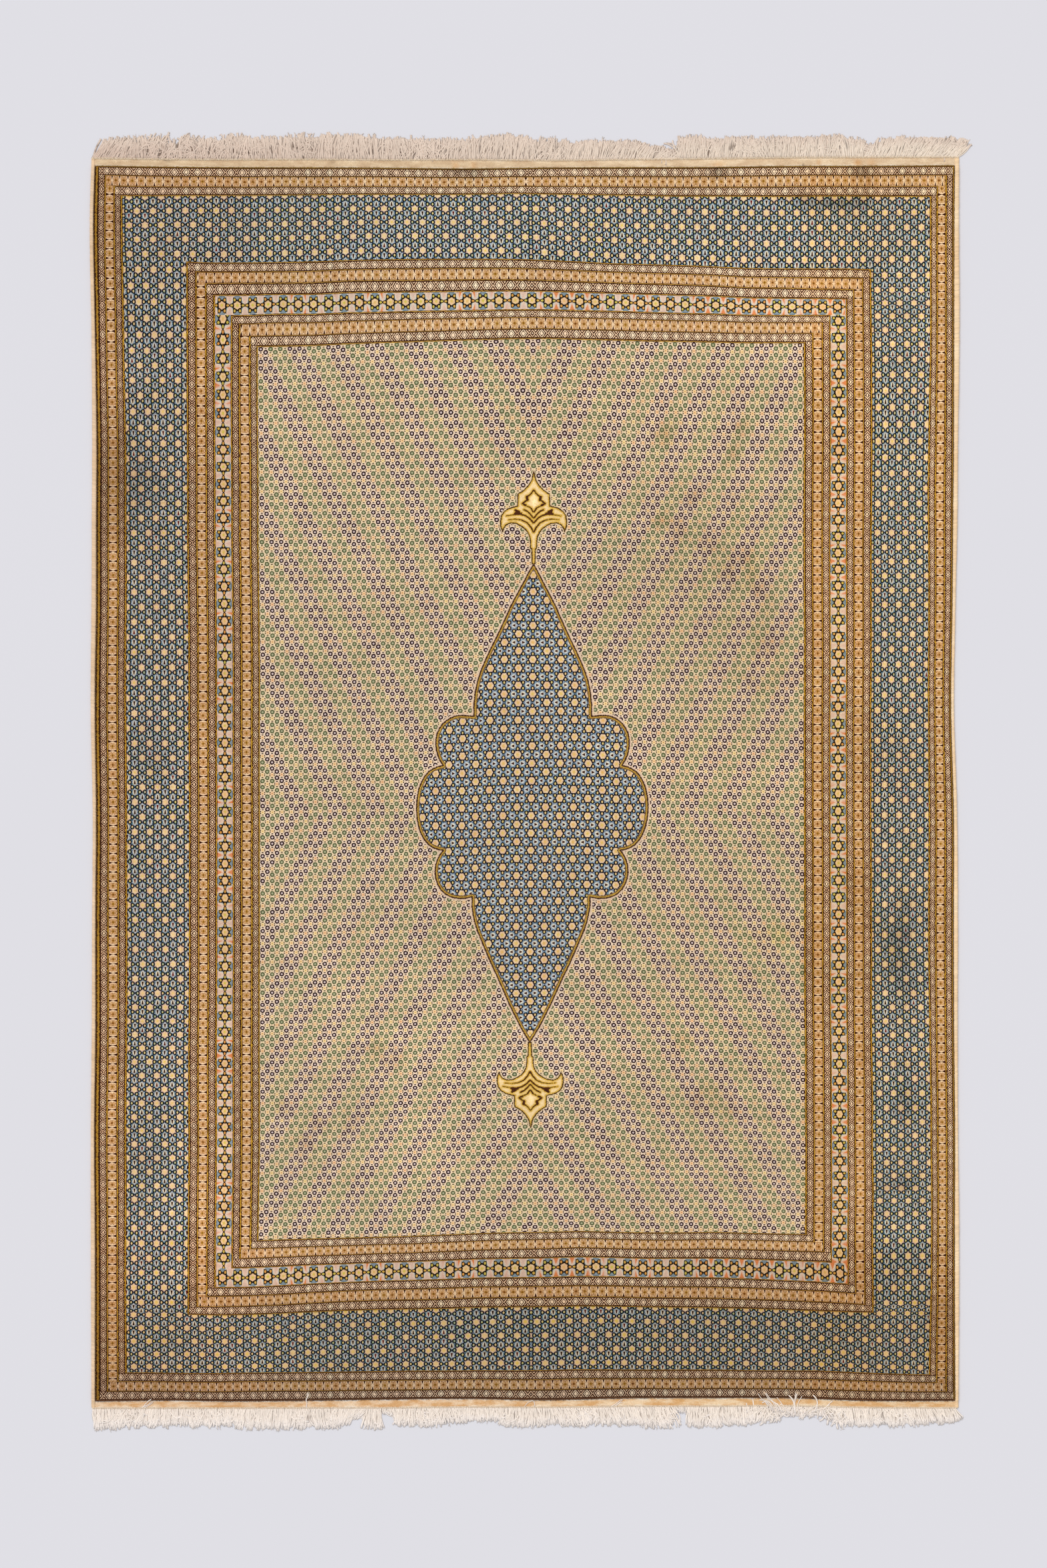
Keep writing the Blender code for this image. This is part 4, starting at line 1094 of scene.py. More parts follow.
class Net:
    """A material's nodes."""

    def __init__(self, name):
        self.material = bpy.data.materials.new(name)
        self.material.use_nodes = True
        self.tree = self.material.node_tree
        self.tree.nodes.clear()

    def node(self, kind, **settings):
        node = self.tree.nodes.new(kind)
        for key, value in settings.items():
            setattr(node, key, value)
        return node

    def put(self, socket, value):
        if isinstance(value, Num):
            value = value.socket
        if isinstance(value, bpy.types.NodeSocket):
            self.tree.links.new(value, socket)
        else:
            socket.default_value = value

    def math(self, operation, *values, clamp=False):
        node = self.node("ShaderNodeMath", operation=operation, use_clamp=clamp)
        for socket, value in zip(node.inputs, values):
            self.put(socket, value)
        return Num(self, node.outputs[0])

    def attribute(self, name):
        return self.node("ShaderNodeAttribute", attribute_name=name).outputs["Vector"]

    def parts(self, vector):
        node = self.node("ShaderNodeSeparateXYZ")
        self.put(node.inputs[0], vector)
        return [Num(self, socket) for socket in node.outputs]

    def joined(self, x, y, z):
        node = self.node("ShaderNodeCombineXYZ")
        for socket, value in zip(node.inputs, (x, y, z)):
            self.put(socket, value)
        return node.outputs[0]

    def chance(self, x, y, z=0.0):
        """Three even random numbers, the same wherever x, y and z are."""
        node = self.node("ShaderNodeTexWhiteNoise", noise_dimensions="3D")
        self.put(node.inputs["Vector"], self.joined(x, y, z))
        return self.parts(node.outputs["Color"])

    def clouds(self, vector, scale, detail=2.0, roughness=0.5):
        node = self.node("ShaderNodeTexNoise")
        self.put(node.inputs["Vector"], vector)
        node.inputs["Scale"].default_value = scale
        node.inputs["Detail"].default_value = detail
        node.inputs["Roughness"].default_value = roughness
        return Num(self, node.outputs["Fac"])

    def mix(self, much, a, b):
        node = self.node("ShaderNodeMix", data_type="RGBA")
        self.put(node.inputs[0], much)
        self.put(node.inputs[6], a)
        self.put(node.inputs[7], b)
        return node.outputs[2]

    def shaded(self, colour, *scales):
        """A colour times vectors or numbers."""
        for scale in scales:
            if isinstance(scale, Num):
                node = self.node("ShaderNodeVectorMath", operation="SCALE")
                self.put(node.inputs["Scale"], scale)
            else:
                node = self.node("ShaderNodeVectorMath", operation="MULTIPLY")
                self.put(node.inputs[1], scale)
            self.put(node.inputs[0], colour)
            colour = node.outputs[0]
        return colour

    def cloth(self, colour, height, distance, roughness=0.92, sheen=0.2, specular=0.2):
        """The shader: matt cloth in this colour, with this relief (m)."""
        shader = self.node("ShaderNodeBsdfPrincipled")
        self.put(shader.inputs["Base Color"], colour)
        shader.inputs["Roughness"].default_value = roughness
        shader.inputs["Specular IOR Level"].default_value = specular
        shader.inputs["Sheen Weight"].default_value = sheen
        shader.inputs["Sheen Roughness"].default_value = 0.5
        if height is not None:
            bump = self.node("ShaderNodeBump")
            bump.inputs["Strength"].default_value = 0.6
            bump.inputs["Distance"].default_value = distance
            self.put(bump.inputs["Height"], height)
            self.put(shader.inputs["Normal"], bump.outputs["Normal"])
        out = self.node("ShaderNodeOutputMaterial")
        self.put(out.inputs["Surface"], shader.outputs[0])
        return self.material


class Cell:
    """One motif of a lattice: where a point is in it, and which one it is."""


def lattice(net, a, b):
    """Columns of star, bloom, bloom, each half a repeat on from the last one.

    a counts columns and b counts motifs down a column from a star. The point is
    folded to its own motif: x and y from its centre, scaled to a six-sided cell
    whose top is at y = 1 and whose side corner is at x = 1.155. In a bloom, +y is
    towards the next bloom of its column.
    """
    xs, ys = a.wrap(-1.0, 1.0), b.wrap(-1.5, 1.5)
    xf, yf = abs(xs), abs(ys)
    odd = (xf.fit(1.5, 0.0) + abs(yf - yf.over(0.5))).over(1.0)
    x = abs(xf - odd)
    shift = odd * 1.5
    y = abs(yf - shift)
    cell = Cell()
    cell.bloom = y.over(0.5)
    cell.x = x * 1.7320508
    cell.y = (y - cell.bloom) * 2.0
    cell.high = abs(cell.y)
    across, down = xs.sign(), ys.sign()
    cell.column = (a - xs) + odd * across
    start = b - ys
    cell.pair = start + down * (1.5 - shift)
    cell.row = start + down * abs(shift - cell.bloom)
    cell.down = down
    # hexagonal distances: flat above and below, and flat at the sides
    cell.flat = cell.high.most(net.math("MULTIPLY_ADD", cell.x, 0.8660254, cell.high * 0.5))
    cell.side = cell.x.most(net.math("MULTIPLY_ADD", cell.high, 0.8660254, cell.x * 0.5))
    cell.star = net.math("MULTIPLY_ADD", cell.side, 1.6, cell.flat * -0.6)
    cell.corner = hypot(cell.x - 1.1547, cell.y).least(
        hypot(cell.x - 0.57735, cell.high - 1.0))
    cell.radius = hypot(cell.x, cell.y)
    return cell


def knot_shade(net, u, v, much=0.16):
    """Each knot a little lighter or darker."""
    value = net.chance(u.floor(), v.floor(), 7.0)[0]
    return value.fit(much, 1.0 - much / 2)


def pile_finish(net, u, v, colour):
    """Patches of darker and lighter tone, the knots' own shades and the pile's relief."""
    colour = net.shaded(colour, net.attribute("tone"), knot_shade(net, u, v))
    height = net.clouds(net.attribute("loom"), 0.8, 1.0)
    return net.cloth(colour, height, 0.0009, sheen=0.05, specular=0.05)


def key_mark(net, cell, width, widen, tall):
    """How far outside a bloom's dark heart a point is: it widens towards the pair's middle."""
    side = net.math("MULTIPLY_ADD", cell.y, -widen, cell.x)
    return (side - width).most(cell.high - tall)


def border_material():
    """The wide border: blue blooms round cream stars, with dark-ringed beads between."""
    net = Net("border_knots")
    u, v, _ = net.parts(net.attribute("loom"))
    first = float(row_knots(312.0))
    cell = lattice(net, abs(u).fit(1 / 11.07, -7.9 / 11.07), v.fit(1 / 14.75, -first / 14.75))
    r1, r2, r3 = net.chance(cell.column * u.sign(), cell.row, u.sign())
    k1, k2, _ = net.chance(u.floor(), v.floor(), 4.0)
    ground = rgb(18, 24, 36)
    petals = net.mix(r1, rgb(94, 142, 166), rgb(126, 152, 176))
    petals = net.mix(k1.above(0.66, 0.3), petals, rgb(180, 188, 212))
    petals = net.mix(k2.below(0.30, 0.3), petals, rgb(58, 84, 108))
    bloom = net.mix(cell.flat.below(0.86, 0.12), ground, petals)
    halo = hypot(cell.x.fit(1.3, 0.0), cell.y) + k1.fit(0.16, -0.08)
    bloom = net.mix(halo.below(0.58, 0.24), bloom, net.mix(r2, rgb(230, 222, 196),
                                                         rgb(204, 208, 204)))
    bloom = net.mix(key_mark(net, cell, 0.17, 0.19, 0.42).below(0.0, 0.08), bloom,
                    net.mix(r3.above(0.9, 0.1), rgb(54, 24, 14), rgb(104, 24, 22)))
    points = cell.star.fit(0.5, 0.0) + cell.radius.fit(0.5, 0.0) + k1.fit(0.12, -0.06)
    star = net.mix(points.below(0.88, 0.10), ground, net.mix(k2, petals, rgb(170, 130, 140)))
    star = net.mix(points.below(0.65, 0.10), star,
                   net.mix(k2, net.mix(r2, rgb(252, 236, 192), rgb(244, 220, 186)),
                           rgb(218, 184, 148)))
    yolk = cell.radius - v.over(float(row_knots(1850.0))) * 0.10
    star = net.mix(yolk.below(0.26, 0.26), star, net.mix(r3, rgb(232, 202, 96),
                                                         rgb(238, 208, 148)))
    colour = net.mix(cell.bloom, star, bloom)
    colour = net.mix(cell.corner.below(0.475, 0.07), colour, rgb(16, 18, 18))
    bead = hypot(cell.x.fit(1.3, -1.1547 * 1.3), cell.y).least(
        hypot(cell.x.fit(1.3, -0.57735 * 1.3), cell.high - 1.0))
    dot = net.mix(r3, rgb(212, 204, 122), rgb(228, 196, 164))
    dot = net.mix(r1.above(0.7, 0.1), dot, rgb(166, 184, 156))
    colour = net.mix(bead.below(0.255, 0.07), colour, dot)
    return pile_finish(net, u, v, colour)


def field_colour(net, u, v):
    """The field: dark and green rings in pairs, in steps that meet on the axis."""
    first, turn = float(row_knots(535.6)), float(row_knots(1210.0))
    cell = lattice(net, u.fit(1 / 7.0, 0.0), v.fit(1 / 9.333, -first / 9.333))
    r1, r2, r3 = net.chance(cell.column, cell.row, 3.0)
    # which of the two colours a pair has: V shapes above the middle, turned below it
    middle = (turn - first) / 9.333
    lower = cell.pair.over(middle)
    step = cell.pair.fit(1 / 1.5, 0.0) + abs(cell.column) * lower.fit(-2.0, 1.0)
    phase = step.fit(1.0, 0.5).wrap(0.0, 8.0)
    dark = phase.over(5.0)
    ground = net.mix(dark, rgb(238, 218, 184), rgb(242, 220, 200))
    ground = net.mix(net.chance(u.floor(), v.floor(), 5.0)[0].above(0.84, 0.3), ground,
                     rgb(212, 188, 164))
    k1 = net.chance(u.floor(), v.floor(), 4.0)[0]
    ring = net.mix(dark, net.mix(k1, net.mix(r1, rgb(114, 122, 84), rgb(92, 104, 70)),
                                 rgb(86, 90, 62)), net.mix(k1, rgb(38, 18, 24), rgb(54, 30, 32)))
    core = net.mix(dark, rgb(178, 180, 150), rgb(214, 198, 200))
    # a round in knots, as a cell is taller than it is wide
    away = hypot(cell.x.fit(4.04, 0.0), cell.y.fit(4.667, 0.0))
    lumpy = net.math("MULTIPLY_ADD", cell.side, 1.1, away)
    lumpy = lumpy + r3.fit(0.3, -0.15) + net.chance(u.floor(), v.floor(), 9.0)[0].fit(0.8, -0.4)
    bloom = net.mix(lumpy.below(4.28, 0.7), ground, ring)
    bloom = net.mix(away.below(1.42, 0.7), bloom, core)
    glow = net.mix(r1, rgb(242, 218, 160), rgb(240, 196, 154))
    star = net.mix(away.below(2.7, 1.7), ground, glow)
    star = net.mix(away.below(0.75, 0.6), star, rgb(186, 128, 76))
    tick = hypot(cell.x.fit(4.04, -0.728 * 4.667), cell.high.fit(6.6, -0.278 * 6.6)).least(
        hypot(cell.x.fit(4.04 * 0.8, 0.0), cell.high.fit(6.6, -0.857 * 6.6)))
    star = net.mix(tick.below(1.25, 0.4), star, net.mix(dark, rgb(74, 54, 30), rgb(50, 28, 22)))
    return net.mix(cell.bloom, star, bloom)


def medallion_colour(net, u, v):
    """Inside the medallion: blue-grey blooms and cream stars in level rows."""
    first = float(row_knots(1195.0))
    cell = lattice(net, v.fit(1 / 12.8, -first / 12.8), u.fit(1 / 12.6, 0.0))
    r1, r2, r3 = net.chance(cell.column, cell.row, 5.0)
    k1, k2, _ = net.chance(u.floor(), v.floor(), 4.0)
    ground = rgb(24, 20, 24)
    petals = net.mix(r1, rgb(102, 138, 162), rgb(122, 154, 180))
    petals = net.mix(k1.above(0.64, 0.3), petals, rgb(164, 172, 196))
    petals = net.mix(k1.below(0.24, 0.2), petals, rgb(72, 96, 116))
    lobes = cell.side.fit(0.9, 0.0) + cell.flat.fit(0.1, 0.0) + k2.fit(0.10, -0.05)
    bloom = net.mix(lobes.below(0.875, 0.10), ground, petals)
    bloom = net.mix(cell.radius.below(0.52, 0.14), bloom, net.mix(r2, rgb(226, 222, 204),
                                                                rgb(202, 208, 210)))
    bloom = net.mix(key_mark(net, cell, 0.19, 0.40, 0.30).below(0.0, 0.08), bloom,
                    rgb(68, 30, 14))
    points = cell.star.fit(0.45, 0.0) + cell.radius.fit(0.55, 0.0) + k2.fit(0.10, -0.05)
    star = net.mix(points.below(0.74, 0.08), ground, net.mix(k2, petals, rgb(180, 140, 130)))
    star = net.mix(points.below(0.67, 0.08), star,
                   net.mix(k1.fit(0.8, 0.0), net.mix(r2, rgb(252, 232, 192), rgb(242, 212, 182)),
                           rgb(206, 164, 134)))
    star = net.mix(cell.radius.below(0.34, 0.34), star, net.mix(r1, rgb(226, 196, 112),
                                                              rgb(226, 182, 112)))
    colour = net.mix(cell.bloom, star, bloom)
    colour = net.mix(cell.corner.below(0.44, 0.07), colour, rgb(28, 18, 18))
    dot = net.mix(r3, rgb(214, 200, 122), rgb(228, 190, 150))
    bead = hypot(cell.x.fit(1.0, -1.1547), cell.y.fit(1.3, 0.0)).least(
        hypot(cell.x.fit(1.0, -0.57735), cell.high.fit(1.3, -1.3)))
    return net.mix(bead.below(0.24, 0.08), colour, dot)


def field_material():
    net = Net("field_knots")
    u, v, _ = net.parts(net.attribute("loom"))
    return pile_finish(net, u, v, field_colour(net, u, v))


def medallion_material():
    net = Net("medallion_knots")
    u, v, _ = net.parts(net.attribute("loom"))
    return pile_finish(net, u, v, medallion_colour(net, u, v))


def ragged(net, distance, u, v, much=1.0):
    """A distance made uneven by half a knot or so, as knotted outlines are."""
    chance = net.chance(u.floor(), v.floor(), 11.0)[1]
    return distance + chance.fit(much, -much / 2)


def medallion_rim_material():
    """The medallion's outline: cream, a dark line, a gold line and a thin brown one."""
    net = Net("medallion_outline_knots")
    u, v, _ = net.parts(net.attribute("loom"))
    distance = ragged(net, net.parts(net.attribute("shape"))[0], u, v)
    colour = net.mix(distance.above(4.4, 0.8), field_colour(net, u, v),
                     medallion_colour(net, u, v))
    colour = net.mix(distance.above(-3.2, 0.8) * distance.below(4.4, 0.8), colour,
                     rgb(226, 200, 178))
    colour = net.mix(distance.above(-0.9, 0.8) * distance.below(4.4, 0.8), colour,
                     rgb(64, 36, 26))
    k1, _, _ = net.chance(u.floor(), v.floor(), 6.0)
    colour = net.mix(distance.above(1.2, 0.8) * distance.below(3.3, 0.8), colour,
                     net.mix(k1, rgb(204, 170, 76), rgb(168, 126, 54)))
    return pile_finish(net, u, v, colour)


def pendant_material():
    """A pendant: a gold flower with flame petals in brown lines, on its stem."""
    net = Net("pendant_knots")
    u, v, _ = net.parts(net.attribute("loom"))
    _, outline, lines = net.parts(net.attribute("shape"))
    outline = ragged(net, outline, u, v)
    lines = ragged(net, lines, u, v, 0.6)
    k1, k2, _ = net.chance(u.floor(), v.floor(), 6.0)
    colour = net.mix(outline.above(-2.2, 0.8), field_colour(net, u, v), rgb(226, 202, 166))
    colour = net.mix(outline.above(-0.9, 0.8), colour, rgb(66, 40, 18))
    cream = net.mix(k1, rgb(250, 226, 182), rgb(240, 208, 146))
    gold = net.mix(k2, rgb(226, 188, 84), rgb(202, 158, 56))
    inside = net.mix(outline.below(2.8, 2.4), cream, gold)
    inside = net.mix(lines.below(1.9, 2.2), inside, gold)
    colour = net.mix(outline.above(0.9, 0.8), colour, inside)
    colour = net.mix(lines.below(0.20, 0.8), colour, net.mix(k1, rgb(88, 50, 22),
                                                             rgb(64, 32, 22)))
    return pile_finish(net, u, v, colour)


def band_parts(net, length_end, length_side, half_height):
    """Place in a band's repeat: x along from its centre, y across, in knots."""
    u, v, _ = net.parts(net.attribute("loom"))
    repeat, across, side = net.parts(net.attribute("band"))
    x = repeat.wrap(-0.5, 0.5) * side.fit(length_side - length_end, length_end)
    return u, v, x, across * half_height, side, (repeat + 0.5).floor()


def guard_material():
    """The narrow guards: nested diamonds end to end."""
    net = Net("guard_knots")
    u, v, x, y, side, count = band_parts(net, 16.0, 16.4, 5.0)
    r1, r2, _ = net.chance(count, u.sign(), side)
    k1, k2, _ = net.chance(u.floor(), v.floor(), 6.0)
    d = abs(x) + abs(y).fit(0.9, 0.0) + k2.fit(0.8, -0.4)
    narrow = d + side * abs(y) * 0.45        # the diamonds of the long sides are slimmer
    cream = net.mix(r1, rgb(255, 237, 207), rgb(250, 220, 190))
    pink = net.mix(k1, rgb(250, 221, 189), rgb(224, 189, 155))
    dark = net.mix(k1, rgb(44, 14, 6), rgb(72, 34, 14))
    lower = v.over(float(row_knots(1850.0))) * (1.0 - side)
    strokes = abs(d.fit(1.0, -2.55).wrap(-1.6, 1.6)) - lower * 0.05
    strokes = strokes.above(0.92, 0.2)
    colour = net.mix(strokes, dark, net.mix(d.above(6.4, 1.0), cream, pink))
    colour = net.mix(d.below(2.7, 0.5), colour, dark)
    colour = net.mix(narrow.below(2.35, 0.4), colour, cream)
    colour = net.mix(abs(y).above(4.2, 0.4), colour, dark)
    right = u.over(0.0)
    colour = net.mix(side, colour, net.shaded(colour, net.mix(
        right, (0.84, 0.78, 0.74, 1.0), (0.96, 0.92, 0.92, 1.0))))
    return pile_finish(net, u, v, colour)


def tiles_material():
    """The bands of tiles: tan flowers with cream sides and dark wedges between them."""
    net = Net("tile_knots")
    u, v, x, y, side, count = band_parts(net, 12.0, 12.6, 6.3)
    r1, r2, r3 = net.chance(count, u.sign(), side)
    k1, k2, _ = net.chance(u.floor(), v.floor(), 6.0)
    far, high = abs(x), abs(y)
    pinch = high.fit(0.30, -0.35).most(0.0).least(1.1)        # the tile narrows to its ends
    edge = far + pinch + k2.fit(0.3, -0.15)
    colour = net.mix(r3, rgb(248, 222, 184), rgb(240, 208, 168))
    # a flower of four petals round a dark heart, brown between them
    petal = hypot(far.fit(1.0, -2.35), high.fit(0.92, -2.5)) + k1.fit(0.7, -0.35)
    colour = net.mix(petal.below(2.55, 0.5), colour, net.mix(k2, rgb(116, 68, 32),
                                                           rgb(158, 106, 60)))
    colour = net.mix(petal.below(1.95, 0.6), colour, net.mix(k1, net.mix(
        r1, rgb(226, 192, 142), rgb(218, 172, 126)), rgb(196, 152, 104)))
    heart = hypot(far, high.fit(1.1, 0.0)) + k2.fit(0.8, -0.4)
    colour = net.mix(heart.below(2.1, 0.8), colour, net.mix(r2, rgb(176, 126, 62),
                                                          rgb(188, 146, 60)))
    colour = net.mix(heart.below(1.25, 0.7), colour, net.mix(r2, rgb(104, 54, 20),
                                                          rgb(140, 96, 30)))
    colour = net.mix(edge.above(4.75, 0.5), colour, net.mix(r3, rgb(248, 222, 188),
                                                            rgb(238, 206, 174)))
    colour = net.mix(high.above(5.6, 0.6), colour, net.mix(k1, rgb(204, 160, 106),
                                                          rgb(128, 82, 44)))
    colour = net.mix(edge.above(5.98, 0.3), colour, rgb(58, 24, 10))
    return pile_finish(net, u, v, colour)


def stars_material():
    """The band of stars: cream stars in blue, with pale hourglasses between them."""
    net = Net("star_band_knots")
    u, v, x, y, side, count = band_parts(net, 22.1, 22.1, 12.0)
    r1, r2, r3 = net.chance(count, u.sign(), side)
    far, high = abs(x), abs(y)
    k1, k2, _ = net.chance(u.floor(), v.floor(), 6.0)
    colour = net.mix(k1.fit(0.7, 0.0), net.mix(r1, rgb(124, 150, 164), rgb(110, 140, 150)),
                     rgb(156, 160, 176))
    # the hourglass at the half repeat, with a warm triangle above and below its waist
    waist = far.fit(-1.0, 11.05)
    flare = (high - 2.6).most(0.0)
    glass = net.math("MULTIPLY_ADD", flare, -0.42, waist)
    colour = net.mix(glass.below(3.2, 0.8), colour, rgb(212, 210, 200))
    colour = net.mix(glass.below(1.6, 0.8), colour, net.mix(k2, rgb(232, 212, 194),
                                                          rgb(218, 186, 170)))
    colour = net.mix(glass.below(-0.6, 0.8) * high.above(4.0, 0.8), colour,
                     net.mix(r3.above(0.6, 0.2), rgb(216, 190, 176), rgb(220, 138, 88)))
    # the star: a six-pointed outline with its points along the band, and a bead in each
    slant = net.math("MULTIPLY_ADD", high, 0.866, far * 0.5)
    other = net.math("MULTIPLY_ADD", high, 0.866, far * -0.5).most(far)
    line = slant.least(other)
    colour = net.mix(line.below(6.2, 0.5), colour, rgb(30, 22, 16))
    dots = hypot(far.fit(1.0, -3.9), high.fit(0.8, -7.0 * 0.8)).least(
        hypot(far.fit(0.8, -8.2 * 0.8), high))
    colour = net.mix(dots.below(2.5, 0.5) * line.above(5.6, 0.6), colour, rgb(44, 30, 18))
    colour = net.mix(dots.below(1.48, 0.6), colour, net.mix(r2, rgb(198, 188, 88),
                                                          rgb(218, 150, 76)))
    body = slant.most(other)
    body = body + k1.fit(0.8, -0.4)
    colour = net.mix(body.below(4.6, 0.7), colour, net.mix(k2, net.mix(
        r1, rgb(244, 222, 174), rgb(238, 202, 170)), rgb(222, 184, 142)))
    colour = net.mix(body.below(1.9, 1.5), colour, net.mix(r3, rgb(208, 196, 84),
                                                         rgb(228, 186, 122)))
    return pile_finish(net, u, v, colour)


def line_material():
    """The plain lines between bands: gold between thin brown edges."""
    net = Net("line_knots")
    u, v, x, y, side, count = band_parts(net, 4.0, 4.0, 1.0)
    r1, r2, _ = net.chance(u.floor(), v.floor(), 2.0)
    gold = net.mix(side, net.mix(r2, rgb(176, 134, 60), rgb(206, 166, 84)),
                   net.mix(r2, rgb(214, 170, 60), rgb(186, 142, 46)))
    shade = net.mix(r1, rgb(70, 34, 14), rgb(44, 18, 8))
    spot = y + net.clouds(net.attribute("loom"), 0.28, 1.0).fit(2.4, -1.2) + r1.fit(0.3, -0.15)
    colour = net.mix(abs(spot).below(0.44, 0.34), shade, gold)
    return pile_finish(net, u, v, colour)


def edge_material():
    """The outermost line: a dark outer edge and a gold line on the long sides."""
    net = Net("edge_knots")
    u, v, x, y, side, count = band_parts(net, 16.0, 16.0, 1.0)
    r1, _, _ = net.chance(u.floor(), v.floor(), 2.0)
    spot = y + net.clouds(net.attribute("loom"), 0.40, 1.0).fit(1.0, -0.5) + r1.fit(0.3, -0.15)
    lower = v.over(float(row_knots(1174.0)))
    ends = net.mix(lower, net.mix(r1, rgb(176, 140, 54), rgb(124, 88, 36)),
                   net.mix(r1, rgb(156, 118, 80), rgb(96, 62, 42)))
    dark = net.mix(side, net.mix(lower, rgb(96, 68, 26), rgb(104, 70, 48)), rgb(58, 32, 16))
    gold = net.mix(side, ends, net.mix(r1, rgb(184, 144, 52), rgb(150, 112, 40)))
    line = (abs((spot + side * 0.08).fit(1.0, -0.12)) - side * 0.13).below(0.27, 0.2)
    colour = net.mix(line, dark, gold)
    return pile_finish(net, u, v, colour)


def pile_materials():
    return {"edge": edge_material(), "guard": guard_material(), "line": line_material(),
            "tiles": tiles_material(), "border": border_material(), "stars": stars_material(),
            "field": field_material(), "medallion": medallion_material(),
            "medallion_rim": medallion_rim_material(), "pendant": pendant_material()}


# ----------------------------------------------------------------------------
# The other pieces: foundation, flat-woven ends, overcast edges, fringes
# ----------------------------------------------------------------------------
def mesh_piece(name, verts, faces, spots, material, smooth_faces=True, **values):
    """A mesh from arrays: faces of three or four corners, each with a spot on its map."""
    mesh = bpy.data.meshes.new(name)
    verts = np.asarray(verts, np.float32)
    mesh.vertices.add(len(verts))
    mesh.vertices.foreach_set("co", verts.ravel())
    loops = np.concatenate([f.ravel() for f in faces]).astype(np.int32)
    sizes = np.concatenate([np.full(len(f), f.shape[1], np.int32) for f in faces])
    starts = np.concatenate([[0], np.cumsum(sizes)[:-1]]).astype(np.int32)
    mesh.loops.add(len(loops))
    mesh.loops.foreach_set("vertex_index", loops)
    mesh.polygons.add(len(sizes))
    mesh.polygons.foreach_set("loop_start", starts)
    mesh.update(calc_edges=True)
    mesh.polygons.foreach_set("use_smooth", np.full(len(sizes), smooth_faces))
    layer = mesh.uv_layers.new(name="OFBake")
    layer.data.foreach_set("uv", np.concatenate([s.reshape(-1, 2) for s in spots])
                           .astype(np.float32).ravel())
    for key, value in values.items():
        kept = mesh.attributes.new(key, "FLOAT_VECTOR", "POINT")
        kept.data.foreach_set("vector", np.asarray(value, np.float32).ravel())
    mesh.materials.append(material)
    piece = bpy.data.objects.new(name, mesh)
    bpy.context.scene.collection.objects.link(piece)
    return piece


def closed_strip(name, top, low, chunks, material, **carried):
    """A closed slab under a grid of points, top[i, j], down to the height low.

    Its map is folded into chunks along i, and carried is what each point of the grid
    carries for its material.
    """
    n, m = top.shape[:2]
    ring = [(k, 0) for k in range(n)] + [(n - 1, k) for k in range(1, m)]
    ring += [(k, m - 1) for k in range(n - 2, -1, -1)] + [(0, k) for k in range(m - 2, 0, -1)]
    at = np.array([a * m + b for a, b in ring])
    below = top.reshape(-1, 3)[at].copy()
    below[:, 2] = low
    verts = np.concatenate([top.reshape(-1, 3), below])
    i, j = (g.ravel() for g in np.meshgrid(np.arange(n - 1), np.arange(m - 1), indexing="ij"))
    quad = np.stack([i * m + j, (i + 1) * m + j, (i + 1) * m + j + 1, i * m + j + 1], axis=1)
    size = int(math.ceil((n - 1) / chunks))
    row = 1.0 / (chunks + 0.2)

    def spot(ii, jj):
        """The map: the top in the left part of each chunk's row, the underside right of it."""
        nth = np.minimum(i // size, chunks - 1)
        return np.stack([0.01 + (ii - nth * size) / size * 0.47,
                         (nth + 0.23 + 0.62 * jj / (m - 1)) * row], axis=-1)

    steps = ((0, 0), (1, 0), (1, 1), (0, 1))
    up = np.stack([spot(i + di, j + dj) for di, dj in steps], axis=1)
    faces, spots = [quad], [up]
    # the underside: one face from side to side at each step, with all points of the ends
    under = {point: n * m + nth for nth, point in enumerate(ring)}
    for k in range(n - 1):
        corners = ([(k, 0)] + [(k, q) for q in range(1, m - 1) if k == 0] + [(k, m - 1)]
                   + [(k + 1, m - 1)]
                   + [(k + 1, q) for q in range(m - 2, 0, -1) if k == n - 2] + [(k + 1, 0)])
        faces.append(np.array([[under[c] for c in corners]]))
        nth = min(k // size, chunks - 1)
        spots.append(np.array([[0.51 + (a - nth * size) / size * 0.47,
                                (nth + 0.23 + 0.62 * b / (m - 1)) * row] for a, b in corners]))
    # the walls along both long sides and across the two ends
    low_at = n * m + np.arange(len(at))
    walls = np.stack([np.roll(at, -1), at, low_at, np.roll(low_at, -1)], axis=1)
    k = np.arange(len(at))
    u0, u1 = 0.01 + 0.98 * k / len(at), 0.01 + 0.98 * (k + 1) / len(at)
    top_v, low_v = (chunks + 0.15) * row, (chunks + 0.05) * row
    spots.append(np.stack([np.stack([u1, np.full(len(k), top_v)], -1),
                           np.stack([u0, np.full(len(k), top_v)], -1),
                           np.stack([u0, np.full(len(k), low_v)], -1),
                           np.stack([u1, np.full(len(k), low_v)], -1)], axis=1))
    faces.append(walls)
    if np.cross(top[1, 0] - top[0, 0], top[0, 1] - top[0, 0])[2] < 0:
        faces = [f[:, ::-1] for f in faces]
        spots = [s[:, ::-1] for s in spots]
    carried = {key: np.concatenate([value.reshape(-1, 3), value.reshape(-1, 3)[at]])
               for key, value in carried.items()}
    return mesh_piece(name, verts, faces, spots, material, **carried)


